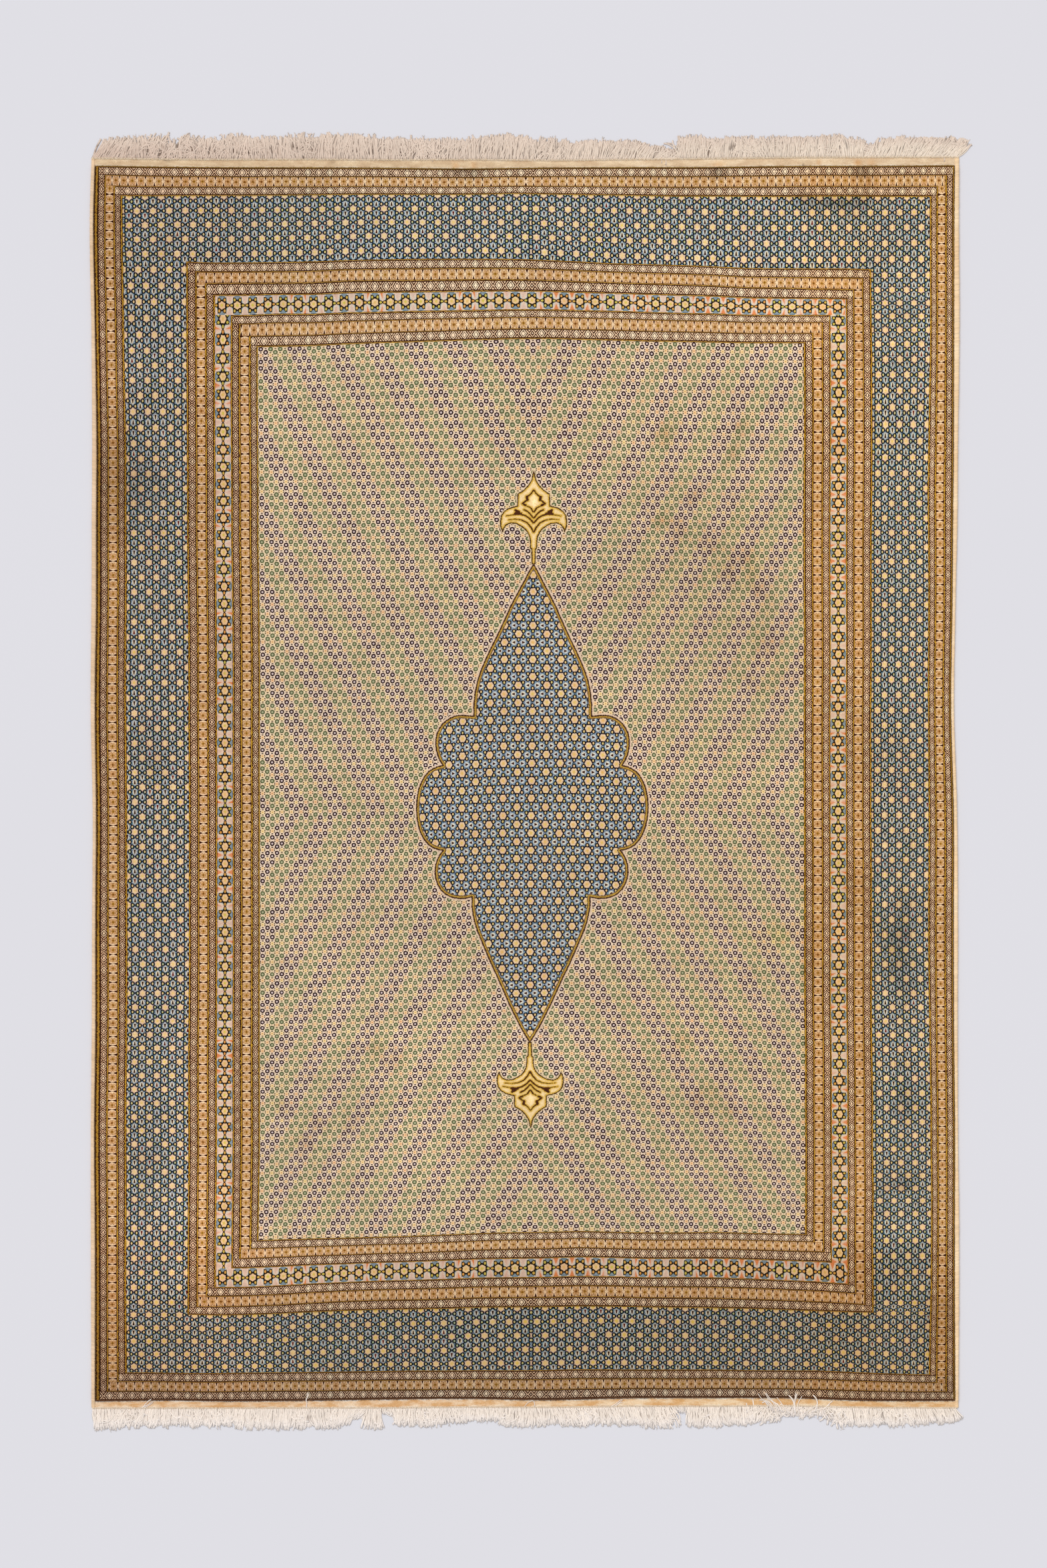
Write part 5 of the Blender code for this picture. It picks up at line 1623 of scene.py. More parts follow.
def tubes(paths, radii, sides, flat=1.0):
    """Closed tubes along many paths at once: points [n, p, 3] and radii [n, p].

    Returns vertices, faces, spots on the map, and each vertex's tube and share of
    its length. Each tube has a cell of its own on the map.
    """
    n, p = paths.shape[:2]
    ahead = np.gradient(paths, axis=1)
    ahead /= np.maximum(np.linalg.norm(ahead, axis=2, keepdims=True), 1e-9)
    across = np.cross(ahead, np.array([0.0, 0.0, 1.0]))
    across /= np.maximum(np.linalg.norm(across, axis=2, keepdims=True), 1e-9)
    up = np.cross(across, ahead)
    turn = 2 * math.pi * np.arange(sides) / sides
    ring = (np.cos(turn)[None, None, :, None] * across[:, :, None, :]
            + flat * np.sin(turn)[None, None, :, None] * up[:, :, None, :])
    verts = paths[:, :, None, :] + radii[:, :, None, None] * ring
    base = (np.arange(n) * p * sides)[:, None, None]
    q, s = np.meshgrid(np.arange(p - 1), np.arange(sides), indexing="ij")
    t = (s + 1) % sides
    quad = np.stack([q * sides + s, q * sides + t, (q + 1) * sides + t, (q + 1) * sides + s],
                    axis=-1).reshape(1, -1, 4) + base
    ends = np.stack([np.arange(sides)[::-1], (p - 1) * sides + np.arange(sides)])[None] + base
    # the map: cells in rows, the wall in the middle of each cell and its two ends beyond
    wide = int(math.ceil(math.sqrt(n)))
    cell = np.stack([np.arange(n) % wide, np.arange(n) // wide], axis=-1) / wide
    def place(u, v):
        return cell[:, None, None, :] + np.stack(np.broadcast_arrays(u, v), -1)[None] / wide
    u0, u1 = 0.08 + 0.84 * s.ravel() / sides, 0.08 + 0.84 * (s.ravel() + 1) / sides
    v0, v1 = 0.14 + 0.72 * q.ravel() / (p - 1), 0.14 + 0.72 * (q.ravel() + 1) / (p - 1)
    wall = place(np.stack([u0, u1, u1, u0], -1), np.stack([v0, v0, v1, v1], -1))
    around = 0.5 + 0.05 * np.cos(turn), 0.05 * np.sin(turn)
    caps = place(np.stack([around[0][::-1], around[0]]),
                 np.stack([0.065 + around[1][::-1], 0.935 + around[1]]))
    which = np.repeat(np.arange(n), p * sides)
    share = np.tile(np.repeat(np.linspace(0, 1, p), sides), n)
    return (verts.reshape(-1, 3), [quad.reshape(-1, 4), ends.reshape(-1, sides)],
            [wall.reshape(-1, 2), caps.reshape(-1, 2)], which, share)


def foundation(material):
    """The woven ground that the knots stand on, a closed sheet flat on the floor."""
    u = np.linspace(-1, 1, 41)
    v = np.linspace(-1, 1, 61)
    inset = 0.0010
    top = np.zeros((41, 61, 3))
    loom = np.zeros((41, 61, 3))
    for j, b in enumerate(v):
        for i, a in enumerate(u):
            x, y = a * (HALF_PILE_WIDTH - inset), b * (HALF_PILE_LENGTH - inset)
            left, right = pile_left(y) + inset, pile_right(y) - inset
            low, high = pile_bottom(x) + inset, pile_top(x) - inset
            top[i, j] = (left + (right - left) * (a + 1) / 2, low + (high - low) * (b + 1) / 2,
                         0.0024)
            loom[i, j] = (x / UNIT, y / UNIT, 0)
    return closed_strip("foundation", top, 0.0, 1, material, loom=loom)


# Marks on the flat weave: column and half width (units), place and half depth from the
# pile (0) to the fringe (1), strength, and how much red, green and blue each takes.
RUST = (0.10, 0.36, 0.62)
STAINS_TOP = (
    (682, 4.0, 0.30, 0.40, 0.55, RUST), (709, 3.5, 0.35, 0.40, 0.50, RUST),
    (1076, 7.0, 0.25, 0.30, 0.50, RUST), (1226, 2.5, 0.45, 0.30, 0.45, RUST),
    (1285, 4.0, 0.35, 0.30, 0.80, RUST), (1305, 5.0, 0.40, 0.30, 0.45, RUST),
    (1203, 1.4, 0.05, 0.20, 0.60, DARK), (252, 4.0, 0.85, 0.20, 0.35, DARK),
    (498, 3.0, 0.80, 0.25, 0.30, DARK), (420, 40, 0.20, 0.60, 0.05, RUST),
    (880, 60, 0.60, 0.60, 0.05, RUST), (1130, 40, 0.20, 0.50, 0.06, RUST),
)
STAINS_BOTTOM = (
    (300, 60, 0.50, 0.60, 0.05, RUST), (640, 50, 0.30, 0.60, 0.06, RUST),
    (1000, 70, 0.50, 0.60, 0.05, RUST), (1290, 30, 0.40, 0.50, 0.08, RUST),
)


def kilim(name, pile_line, outer_line, sign, seed, material, stains, fade):
    """A flat-woven end: plain weave with a ribbed face, from the pile to the fringe."""
    rand = np.random.RandomState(seed)
    columns, picks = 1301, 15
    x0, x1 = selvedge_left(sign * HALF_PILE_LENGTH) + 0.001, selvedge_right(
        sign * HALF_PILE_LENGTH) - 0.001
    xs = np.linspace(x0, x1, columns)
    inner = np.array([pile_line(x) for x in xs]) + sign * GAP
    outer = np.array([outer_line(x) for x in xs])
    share = np.linspace(0, 1, picks)[None, :]
    top = np.zeros((columns, picks, 3))
    top[:, :, 0] = xs[:, None]
    top[:, :, 1] = inner[:, None] + (outer - inner)[:, None] * share
    i, j = np.meshgrid(np.arange(columns), np.arange(picks), indexing="ij")
    sway = np.interp(np.arange(columns), np.linspace(0, columns, 66), rand.uniform(-1, 1, 66))
    belly = np.sin(share * math.pi) * (0.00035 + 0.00035 * sway[:, None])
    weave = 0.00022 * np.where((i + j) % 2, 1.0, -1.0)
    edge = np.clip((share - 0.86) / 0.14, 0, 1) ** 2 * 0.0006
    top[:, :, 2] = 0.0023 + belly + weave - edge + 0.00008 * rand.uniform(-1, 1, i.shape)
    # the weave runs out into the pile and the edges in slightly wavy lines
    top[:, 1:-1, 1] += 0.0002 * rand.uniform(-1, 1, (columns, picks - 2))
    loom = np.stack([xs[:, None] / UNIT + 0 * share, share + 0 * xs[:, None],
                     np.full((columns, picks), float(sign))], axis=-1)
    marks = np.ones((columns, picks, 3)) + (np.clip((xs + 0.3) / 0.8, 0, 1)[:, None, None]
                                            * np.array(fade))
    for col, half, level, depth, strength, tint in stains:
        far = ((to_col(xs)[:, None] - col) / half) ** 2 + ((share - level) / depth) ** 2
        marks *= 1 - (strength * np.exp(-0.5 * np.minimum(far, 60)))[..., None] * np.array(tint)
    return closed_strip(name, top, 0.0002, 9, material, loom=loom, tone=marks)


def twining(name, line, sign, seed, material):
    """The row of twined weft that locks the flat weave: small slanting loops on its edge."""
    rand = np.random.RandomState(seed)
    count = 620
    x0, x1 = selvedge_left(sign * HALF_LENGTH) + 0.002, selvedge_right(sign * HALF_LENGTH) - 0.002
    xs = x0 + (x1 - x0) * (np.arange(count) + 0.5) / count + rand.uniform(-3e-4, 3e-4, count)
    y = np.array([line(x) for x in xs]) + rand.uniform(-3e-4, 3e-4, count) - sign * 0.0006
    t = np.linspace(-1, 1, 5)[None, :]
    slant = 0.0005 + rand.uniform(-3e-4, 3e-4, count)[:, None]
    paths = np.stack([xs[:, None] + t * slant, y[:, None] + sign * t * 0.0027,
                      0.0029 + 0.0011 * np.sqrt(np.clip(1 - t * t, 0.04, 1))
                      + 0 * xs[:, None]], axis=-1)
    radii = 0.00145 * np.sqrt(np.clip(1 - 0.7 * t * t, 0.1, 1)) + 0 * xs[:, None]
    verts, faces, spots, which, share = tubes(paths, radii, 5)
    chance = rand.uniform(0, 1, count)
    return mesh_piece(name, verts, faces, spots, material,
                      strand=np.stack([chance[which], share, 0 * share], axis=-1))


def pile_tufts(name, seed, material):
    """Tufts of the outermost knots, which stand out unevenly round the pile's edge."""
    rand = np.random.RandomState(seed)
    paths, places = [], []
    for side, (count, run, line) in enumerate(TUFT_SIDES):
        at = np.linspace(-run, run, count) + rand.uniform(-4e-4, 4e-4, count)
        edge = np.array([line(v) for v in at])
        out = np.sign(edge)
        inner, outer = edge - out * 0.0016, edge + out * rand.uniform(-0.0008, 0.0022, count)
        skew = rand.uniform(-9e-4, 9e-4, count)
        z = rand.uniform(0.0052, 0.0076, count)
        if side < 2:
            ends = [np.stack([at, inner, z], -1), np.stack([at + skew, outer, z - 0.0012], -1)]
        else:
            ends = [np.stack([inner, at, z], -1), np.stack([outer, at + skew, z - 0.0012], -1)]
        paths.append(np.stack(ends, axis=1))
        places.append(np.full(count, float(side)))
    paths, places = np.concatenate(paths), np.concatenate(places)
    n = len(paths)
    radii = np.stack([rand.uniform(0.0011, 0.0015, n), rand.uniform(0.0007, 0.0011, n)], axis=1)
    verts, faces, spots, which, share = tubes(paths, radii, 3)
    return mesh_piece(name, verts, faces, spots, material,
                      strand=np.stack([rand.rand(n)[which], share, places[which]], axis=-1))


# Tufts on the sides of the pile: how many, half the run, and the line they stand on.
TUFT_SIDES = (
    (1290, HALF_PILE_WIDTH - 0.004, pile_top), (1290, HALF_PILE_WIDTH - 0.004, pile_bottom),
    (1830, HALF_PILE_LENGTH - 0.004, pile_left), (1830, HALF_PILE_LENGTH - 0.004, pile_right),
)


def selvedge(name, inner_line, outer_line, seed, material):
    """An overcast edge: yarn wound round a cord, turn beside turn."""
    rand = np.random.RandomState(seed)
    sign = 1 if outer_line(0.0) > 0 else -1
    corner = sign * HALF_PILE_WIDTH
    y0, y1 = kilim_bottom(corner) + 0.001, kilim_top(corner) - 0.001
    wraps = 1340
    rings = wraps * 3 + 1
    ys = np.linspace(y0, y1, rings)
    turn = np.arange(rings) % 3
    middle = np.array([(inner_line(np.clip(y, -HALF_PILE_LENGTH, HALF_PILE_LENGTH))
                        + outer_line(y)) / 2 for y in ys]) + sign * 0.0002
    half = np.array([abs(outer_line(y) - inner_line(np.clip(y, -HALF_PILE_LENGTH,
                                                            HALF_PILE_LENGTH))) / 2 for y in ys])
    thin = np.clip((np.abs(ys) - HALF_PILE_LENGTH) / 0.012, 0, 1)
    high = 0.0038 * (1 - 0.45 * thin)
    swell = np.interp(np.arange(rings), np.linspace(0, rings, 260), rand.uniform(-1, 1, 260))
    each = rand.uniform(-1, 1, wraps + 1)[np.minimum(np.arange(rings) // 3, wraps)]
    groove = np.array([0.80, 1.0, 0.97])[turn]
    sides = 8
    angle = 2 * math.pi * (np.arange(sides) + 0.5) / sides
    c, s = np.cos(angle), np.sin(angle)
    c, s = np.sign(c) * np.abs(c) ** 0.8, np.sign(s) * np.abs(s) ** 0.8
    body = groove * (1 + 0.05 * swell + 0.05 * each)
    x = middle[:, None] + (half * body)[:, None] * c[None, :]
    z = high[:, None] * (1 + 0.98 * body[:, None] * s[None, :])
    y = ys[:, None] + 0.0011 * c[None, :] * sign
    verts = np.stack([x, y + 0 * x, np.maximum(z, 0.0001)], axis=-1)
    i, k = (g.ravel() for g in np.meshgrid(np.arange(rings - 1), np.arange(sides), indexing="ij"))
    k2 = (k + 1) % sides
    quad = np.stack([i * sides + k, i * sides + k2, (i + 1) * sides + k2, (i + 1) * sides + k],
                    axis=1)
    ends = np.stack([np.arange(sides)[::-1], (rings - 1) * sides + np.arange(sides)])
    chunks = 24
    size = int(math.ceil((rings - 1) / chunks))
    nth = i // size

    def spot(ii, kk):
        return np.stack([0.01 + 0.94 * (nth + 0.1 + 0.8 * kk / sides) / chunks,
                         0.01 + 0.97 * (ii - nth * size) / size], axis=-1)

    wall = np.stack([spot(i, k), spot(i, k + 1), spot(i + 1, k + 1), spot(i + 1, k)], axis=1)
    round_spot = np.stack([0.975 + 0.008 * np.cos(angle), 0.3 + 0.008 * np.sin(angle)], -1)
    caps = np.stack([round_spot[::-1], round_spot + np.array([0.0, 0.4])])
    faces, spots = [quad, ends], [wall, caps]
    a, b, d = verts[0, 0], verts[0, 1], verts[1, 0]
    if np.dot(np.cross(b - a, d - a), a - verts[0].mean(axis=0)) < 0:
        faces, spots = [f[:, ::-1] for f in faces], [t[:, ::-1] for t in spots]
    tones = rand.uniform(0, 1, wraps + 2)
    strand = np.stack([np.repeat(tones[np.arange(rings) // 3], sides),
                       np.tile(angle / (2 * math.pi), rings), np.repeat(ys, sides)], axis=-1)
    return mesh_piece(name, verts.reshape(-1, 3), faces, spots, material, strand=strand)


# Where the strands curl round each other instead of lying straight: from x, to x, how much.
CURLY_TOP = ((-1.075, -0.925, 1.0), (-0.90, -0.80, 0.5), (-0.66, -0.60, 0.6), (-0.36, -0.22, 0.5),
             (0.02, 0.12, 0.6), (0.36, 0.42, 0.6), (0.62, 0.70, 0.5), (0.96, 1.00, 0.4))
CURLY_BOTTOM = ((-1.16, -1.10, 0.7), (-0.95, -0.86, 0.5), (-0.30, -0.20, 0.5),
                (0.10, 0.17, 0.5), (0.36, 0.44, 0.6), (0.66, 0.90, 1.0), (1.0, 1.06, 0.4))
# Ends that have been flung over the flat weave and the pile: their points in the
# drawing (columns, rows), and how many strands lie along one another.
FLUNG = (
    (2, ((461, 2087.5), (460, 2092), (457.5, 2098), (459, 2103), (458, 2110))),
    (2, ((226, 2096.5), (221, 2100), (216, 2105), (211, 2110))),
    (2, ((229, 2101), (223, 2105), (217, 2108.5))),
    (2, ((932, 2097), (926, 2101), (921, 2105), (915, 2108))),
    (1, ((933, 2101), (928, 2102), (923, 2106))),
    (1, ((785, 2108), (791, 2101), (798, 2098), (801, 2099), (802, 2107))),
    (1, ((1136, 2087), (1141, 2094), (1147, 2101), (1150, 2112))),
    (3, ((1138, 2097), (1144, 2097), (1149, 2101), (1156, 2112))),
    (2, ((1147, 2087), (1152, 2095), (1159, 2102), (1166, 2116))),
    (3, ((1150, 2096), (1158, 2100), (1166, 2105), (1172, 2116))),
    (2, ((1143, 2102), (1150, 2098), (1156, 2103), (1160, 2116))),
    (2, ((1163, 2093), (1170, 2102), (1176, 2110), (1184, 2118))),
    (2, ((1181, 2090), (1187, 2096), (1190, 2105), (1191, 2120))),
    (3, ((1185, 2094), (1189, 2101), (1188, 2109), (1184, 2122))),
    (4, ((1194, 2087), (1192, 2094), (1190, 2102), (1192, 2116))),
    (2, ((1201, 2091), (1197, 2099), (1195, 2108), (1198, 2122))),
    (2, ((1217, 2089), (1222, 2094), (1224, 2102), (1221, 2114))),
    (2, ((1226, 2104), (1221, 2108), (1214, 2112), (1206, 2118))),
    (3, ((1242, 2104), (1236, 2108), (1230, 2114), (1238, 2126))),
    (2, ((1247, 2099), (1240, 2105), (1231, 2112), (1244, 2130))),
    (2, ((1246, 2108), (1236, 2110), (1224, 2113), (1216, 2116))),
)


# How much longer (mm) the warp ends lie at a column of the drawing than their clump says.
TRIM_TOP = ((137, -4), (160, 0), (205, -8), (240, -4), (262, -2), (270, 4), (298, 4), (305, 0),
            (330, -6), (380, -4), (422, 0), (434, -6), (450, 0), (486, 0), (496, 4), (506, 0),
            (690, -2), (698, -10), (706, 0), (734, 4), (760, 4), (800, 2), (808, 8), (850, 0),
            (880, 2), (985, -2), (992, -10), (1010, -12), (1015, 0), (1110, 2), (1160, 5),
            (1230, 5), (1262, 0), (1284, -10), (1296, -18), (1304, -8), (1312, 2), (1335, 8),
            (1400, 11), (1440, 2))
# How much further to the right (mm) their tips lie at the rug's corners.
LEAN_TOP = ((137, 17), (165, 6), (185, 0), (1440, 0))
LEAN_BOTTOM = ((135, 14), (150, 8), (175, 0), (1440, 0))
TRIM_BOTTOM = ((145, 0), (500, 0), (506, 15), (530, 15), (538, 0), (568, 0), (573, -12),
               (581, -12), (588, 0), (1007, 0), (1012, -14), (1022, -12), (1030, 4), (1066, 9),
               (1080, 0), (1131, 0), (1138, 15), (1150, 10), (1164, 4), (1180, -8), (1188, -12),
               (1200, -4), (1212, -8), (1228, -10), (1235, -18), (1246, -12), (1254, 0),
               (1385, -8), (1400, -4), (1428, -8), (1436, -16))


def corrections(sign, x):
    """How much longer and further to the right the warp ends lie at x than their clump says."""
    trim, lean = (TRIM_TOP, LEAN_TOP) if sign > 0 else (TRIM_BOTTOM, LEAN_BOTTOM)
    return [0.001 * np.interp(to_col(x), *zip(*table)) for table in (trim, lean)]


def strands(clumps, line, sign, rand, curly, pitch, points):
    """Paths of the warp ends: they lie in clumps and tufts, lean, bend and curl."""
    starts, reaches, leans = [], [], []
    for start, end, reach, lean in clumps:
        count = int(round((end - start) / pitch))
        x = start + (end - start) * (np.arange(count) + rand.uniform(0.1, 0.9, count)) / count
        spread = (x - (start + end) / 2) / (end - start)
        starts.append(x)
        reaches.append(0.001 * reach * (1 - 0.20 * spread ** 2)
                       * rand.uniform(0.84, 1.02, count) ** np.where(rand.rand(count) < 0.12, 3, 1))
        leans.append(0.001 * lean + 0.004 * spread)
    x, reach, lean = (np.concatenate(v) for v in (starts, reaches, leans))
    more, across = corrections(sign, x)
    reach, lean = np.maximum(reach + more, 0.012), lean + across
    n = len(x)
    # strands gather into tufts, which lean as one
    own = np.random.RandomState(77).normal(0, 1, 1000)[np.floor(x / 0.013).astype(int) + 400]
    own *= np.clip((1.235 - np.abs(x)) / 0.05, 0, 1)
    curl = np.zeros(n)
    for low, high, much in curly:
        curl = np.maximum(curl, much * np.clip(np.minimum(x - low, high - x) / 0.012 + 0.5, 0, 1))
    share = np.linspace(0, 1, points)[None, :]
    length = reach[:, None] * (1.03 + 0.14 * curl[:, None])
    heading = (lean / reach)[:, None] * 1.15 + 0.19 * own[:, None] * share ** 0.5
    heading = heading + rand.normal(0, 0.13, (n, 1)) * share
    bend = rand.normal(0, 1, (n, 1)) * (0.18 + 0.55 * curl[:, None])
    heading = heading + bend * np.sin(share * math.pi * rand.uniform(0.8, 2.2, (n, 1))
                                      + rand.uniform(-0.6, 0.6, (n, 1)))
    hook = np.where(rand.rand(n, 1) < 0.06 + 0.5 * curl[:, None],
                    np.sin(x * 55.0)[:, None] + rand.normal(0, 0.4, (n, 1)), 0)
    heading = heading + hook * 1.9 * np.clip(share - 0.15, 0, 1) ** 1.1
    step = length / (points - 1)
    zero = np.zeros((n, 1))
    dx = np.cumsum(np.concatenate([zero, np.sin(heading[:, 1:]) * step], axis=1), axis=1)
    dy = np.cumsum(np.concatenate([zero, np.cos(heading[:, 1:]) * step], axis=1), axis=1)
    root = np.array([line(v) for v in x])
    return x, x[:, None] + dx, root[:, None] + sign * (dy - 0.0006), heading, share


def matted(name, clumps, line, sign, rand, material):
    """A thin layer of matted cotton under the strands, its outer edge as ragged as theirs."""
    n, m = 1281, 5
    x = np.linspace(clumps[0][0] + 0.003, clumps[-1][1] - 0.003, n)
    reach, lean = np.zeros(n), np.zeros(n)
    for start, end, far, tilt in clumps:
        inside = (x >= start) & (x <= end)
        spread = (x[inside] - (start + end) / 2) / (end - start)
        reach[inside] = 0.001 * far * (1 - 0.20 * spread ** 2)
        lean[inside] = 0.001 * tilt
    lean = np.convolve(np.pad(lean, 8, mode="edge"), np.ones(17) / 17, "valid")
    reach = np.convolve(np.pad(reach, 2, mode="edge"), np.ones(5) / 5, "valid")
    more, across = corrections(sign, x)
    reach, lean = reach + more, lean + across
    lumps = np.interp(np.arange(n), np.linspace(0, n, 260), rand.uniform(-1, 1, 260))
    reach = np.maximum(reach * (0.90 + 0.07 * lumps + 0.04 * rand.uniform(-1, 1, n)), 0.010)
    share = np.linspace(0, 1, m)[None, :]
    top = np.stack([x[:, None] + 1.05 * lean[:, None] * share,
                    np.array([line(v) for v in x])[:, None] + sign * (reach[:, None] * share - 6e-4),
                    0.0014 - 0.0005 * share + 0.0001 * rand.uniform(-1, 1, (n, 1))], axis=-1)
    strand = np.stack([rand.rand(n)[:, None] + 0 * share, share + 0 * x[:, None],
                       x[:, None] + 0 * share], axis=-1)
    return closed_strip(name, top, 0.0002, 9, material, strand=strand)


def fringe(name, clumps, curly, line, sign, seed, flat, yarn, shade_yarn, mat_yarn, flung=()):
    """Loose warp ends: strands over flattened ones and matted cotton, frayed at their tips."""
    rand = np.random.RandomState(seed)
    mat = matted(name + "_mat", clumps, line, sign, rand, mat_yarn)
    x, px, py, _, share = strands(clumps, line, sign, rand, curly, 0.0034, 7)
    n = len(x)
    height = 0.0016 + 0.0003 * rand.rand(n, 1) + 0 * share
    radii = 0.0024 * (1 + 0.25 * share) * rand.uniform(0.8, 1.1, (n, 1))
    verts, faces, spots, which, along_it = tubes(np.stack([px, py, height], -1), radii, 4, 0.34)
    bed = mesh_piece(name + "_bed", verts, faces, spots, shade_yarn, strand=np.stack(
        [rand.rand(n)[which], along_it, x[which]], axis=-1))

    points = 9
    x, px, py, heading, share = strands(clumps, line, sign, rand, curly, 0.0025, points)
    n = len(x)
    level = rand.rand(n, 1)
    height = (0.0024 + 0.0016 * flat * level + 0.0008 * flat * np.sin(share * 7 + 9 * level)
              * np.clip(share * 4, 0, 1) - 0.0009 * share)
    paths = np.stack([px, py, height], axis=-1)
    radii = 0.00155 * (1.0 + 0.35 * share) * rand.uniform(0.80, 1.15, (n, 1))
    if flung:
        more, more_radii = [], []
        for copies, spots_at in flung:
            way = np.array(spots_at, float)
            for _ in range(copies):
                t = np.linspace(0, len(way) - 1, points)
                col = np.interp(t, np.arange(len(way)), way[:, 0]) + rand.normal(0, 0.8)
                row = np.interp(t, np.arange(len(way)), way[:, 1]) + rand.normal(0, 0.5)
                col += np.cumsum(rand.normal(0, 0.35, points))
                over = np.clip((np.array([to_row(line(to_x(c))) for c in col]) - 9.0 - row) / 3.0,
                               0, 1)
                z = 0.0041 + 0.0056 * over + 0.0004 * rand.rand()
                more.append(np.stack([to_x(col), to_y(row), z], axis=-1))
                more_radii.append(np.linspace(0.0009, 0.0012, points))
        paths, radii = np.concatenate([paths, more]), np.concatenate([radii, more_radii])
        x = np.concatenate([x, [way[0][0] for way in more]])
    verts, faces, spots, which, along_it = tubes(paths, radii, 5, flat)
    shade = rand.rand(len(x))
    body = mesh_piece(name, verts, faces, spots, yarn, strand=np.stack(
        [shade[which], along_it, x[which]], axis=-1))

    # frayed ends: fine fibres that open out of the strands' last part
    each = 3
    m = n * each
    of = np.repeat(np.arange(n), each)
    where = rand.uniform(0.66, 1.0, m) * (points - 1)
    k = np.minimum(where.astype(int), points - 2)
    f = (where - k)[:, None]
    root_at = paths[of, k] * (1 - f) + paths[of, k + 1] * f
    aim = heading[of, np.minimum(k + 1, points - 1)] + rand.normal(0, 0.42, m)
    reach = rand.uniform(0.003, 0.008, m)
    t = np.linspace(0, 1, 3)[None, :]
    swing = rand.normal(0, 0.5, (m, 1)) * t
    hx = np.sin(aim[:, None] + swing) * reach[:, None] * t
    hy = np.cos(aim[:, None] + swing) * reach[:, None] * t
    fibres = np.stack([root_at[:, :1] + hx, root_at[:, 1:2] + sign * hy,
                       np.clip(root_at[:, 2:3] + rand.normal(0, 0.0006, (m, 1)) * t,
                               0.0008, 0.0030)], axis=-1)
    thin = 0.00095 * (1 - 0.35 * t) * rand.uniform(0.7, 1.3, (m, 1))
    verts, faces, spots, which, along_it = tubes(fibres, thin, 3)
    fray = mesh_piece(name + "_fray", verts, faces, spots, yarn, strand=np.stack(
        [shade[of][which], 1.0 + along_it, x[of][which]], axis=-1))
    return [body, bed, fray, mat]


def flat_weave_material(name, low, high, edges):
    """Cotton flat weave: ribs of packed weft in this range of colours."""
    net = Net(name)
    u, v, _ = net.parts(net.attribute("loom"))
    places = net.attribute("loom")
    broad = net.clouds(net.joined(u.fit(0.02, 0.0), v.fit(0.7, 3.0), 0.0), 1.6, 4.0, 0.65)
    fine = net.chance(u.floor(), v.fit(9.0, 0.0).floor(), 3.0)[0]
    small = net.clouds(net.joined(u.fit(0.16, 0.0), v.fit(1.6, 3.0), 0.0), 1.0, 2.0, 0.6)
    colour = net.mix(broad.above(0.5, 0.2), low, high)
    rim = abs(v.fit(2.0, -1.0)) + broad.fit(1.6, -0.8) + small.fit(0.3, -0.15)
    colour = net.mix(rim.above(0.80, 0.36) * 0.9, colour, edges)
    ribs = net.math("SINE", v.fit(9 * 2 * math.pi, 0.0))
    colour = net.shaded(colour, net.attribute("tone"), fine.fit(0.14, 0.93), ribs.fit(0.03, 0.99),
                        small.fit(0.16, 0.92))
    height = net.math("MULTIPLY_ADD", net.math("SINE", u.fit(2 * math.pi, 0.0)), ribs, fine)
    return net.cloth(colour, height, 0.0004, 0.9, 0.15)


def yarn_material(name, low, high, shadow, twist, sheen=0.15):
    """Cotton yarn: each strand its own tone, twisted, duller low down its length."""
    net = Net(name)
    chance, share, place = net.parts(net.attribute("strand"))
    colour = net.mix(chance, low, high)
    if shadow is not None:
        colour = net.mix(share.below(0.10, 0.2), colour, shadow)
    places = net.node("ShaderNodeTexCoord").outputs["Object"]
    fluff = net.clouds(places, 700.0, 2.0)
    colour = net.shaded(colour, fluff.fit(0.30, 0.86))
    ply = net.math("SINE", share.fit(twist, 0.0))
    return net.cloth(colour, net.math("MULTIPLY_ADD", ply, 0.5, fluff), 0.0004, 0.9, sheen)


def fringe_material(name, left, right, tips, depth=0.0, slope=0.0):
    """The fringe's cotton: it changes a little from one side of the rug to the other.

    What lies under the topmost strands takes painted shadow by depth: dark brown gaps near the
    roots, with more of them on the right (or, below zero, on the left) by slope.
    """
    net = Net(name)
    chance, share, place = net.parts(net.attribute("strand"))
    colour = net.mix(place.fit(0.4, 0.5), left, right)
    locks = net.clouds(net.joined(place.fit(9.0, 0.0), 0.0, 0.0), 1.0, 2.0)
    colour = net.mix(share.above(0.75, 0.5), colour, tips)
    colour = net.shaded(colour, chance.fit(0.14, 0.93), locks.fit(0.16, 0.92))
    places = net.node("ShaderNodeTexCoord").outputs["Object"]
    fluff = net.clouds(places, 420.0, 2.0)
    colour = net.shaded(colour, fluff.fit(0.12, 0.95))
    # painted shadow: dark brown gaps between the strands near the roots, where the spots allow
    if depth:
        spots = net.clouds(net.joined(place.fit(14.0, 0.0), 0.0, 2.0), 1.0, 2.0)
        spots = (spots + place * slope).above(0.48, 0.2)
        gap_shadow = net.clouds(net.joined(place.fit(110.0, 0.0), share.fit(2.5, 0.0), 0.0), 1.0, 1.0)
        gap_shadow = gap_shadow.above(0.50, 0.12) * share.below(0.66, 0.3)
        # the painted shadow's dark brown
        colour = net.mix(gap_shadow * spots.fit(0.7, 0.3) * depth, colour, rgb(92, 62, 42))
    ply = net.math("SINE", share.fit(160.0, 0.0))
    return net.cloth(colour, net.math("MULTIPLY_ADD", ply, 0.5, fluff), 0.0002, 0.9, 0.3)


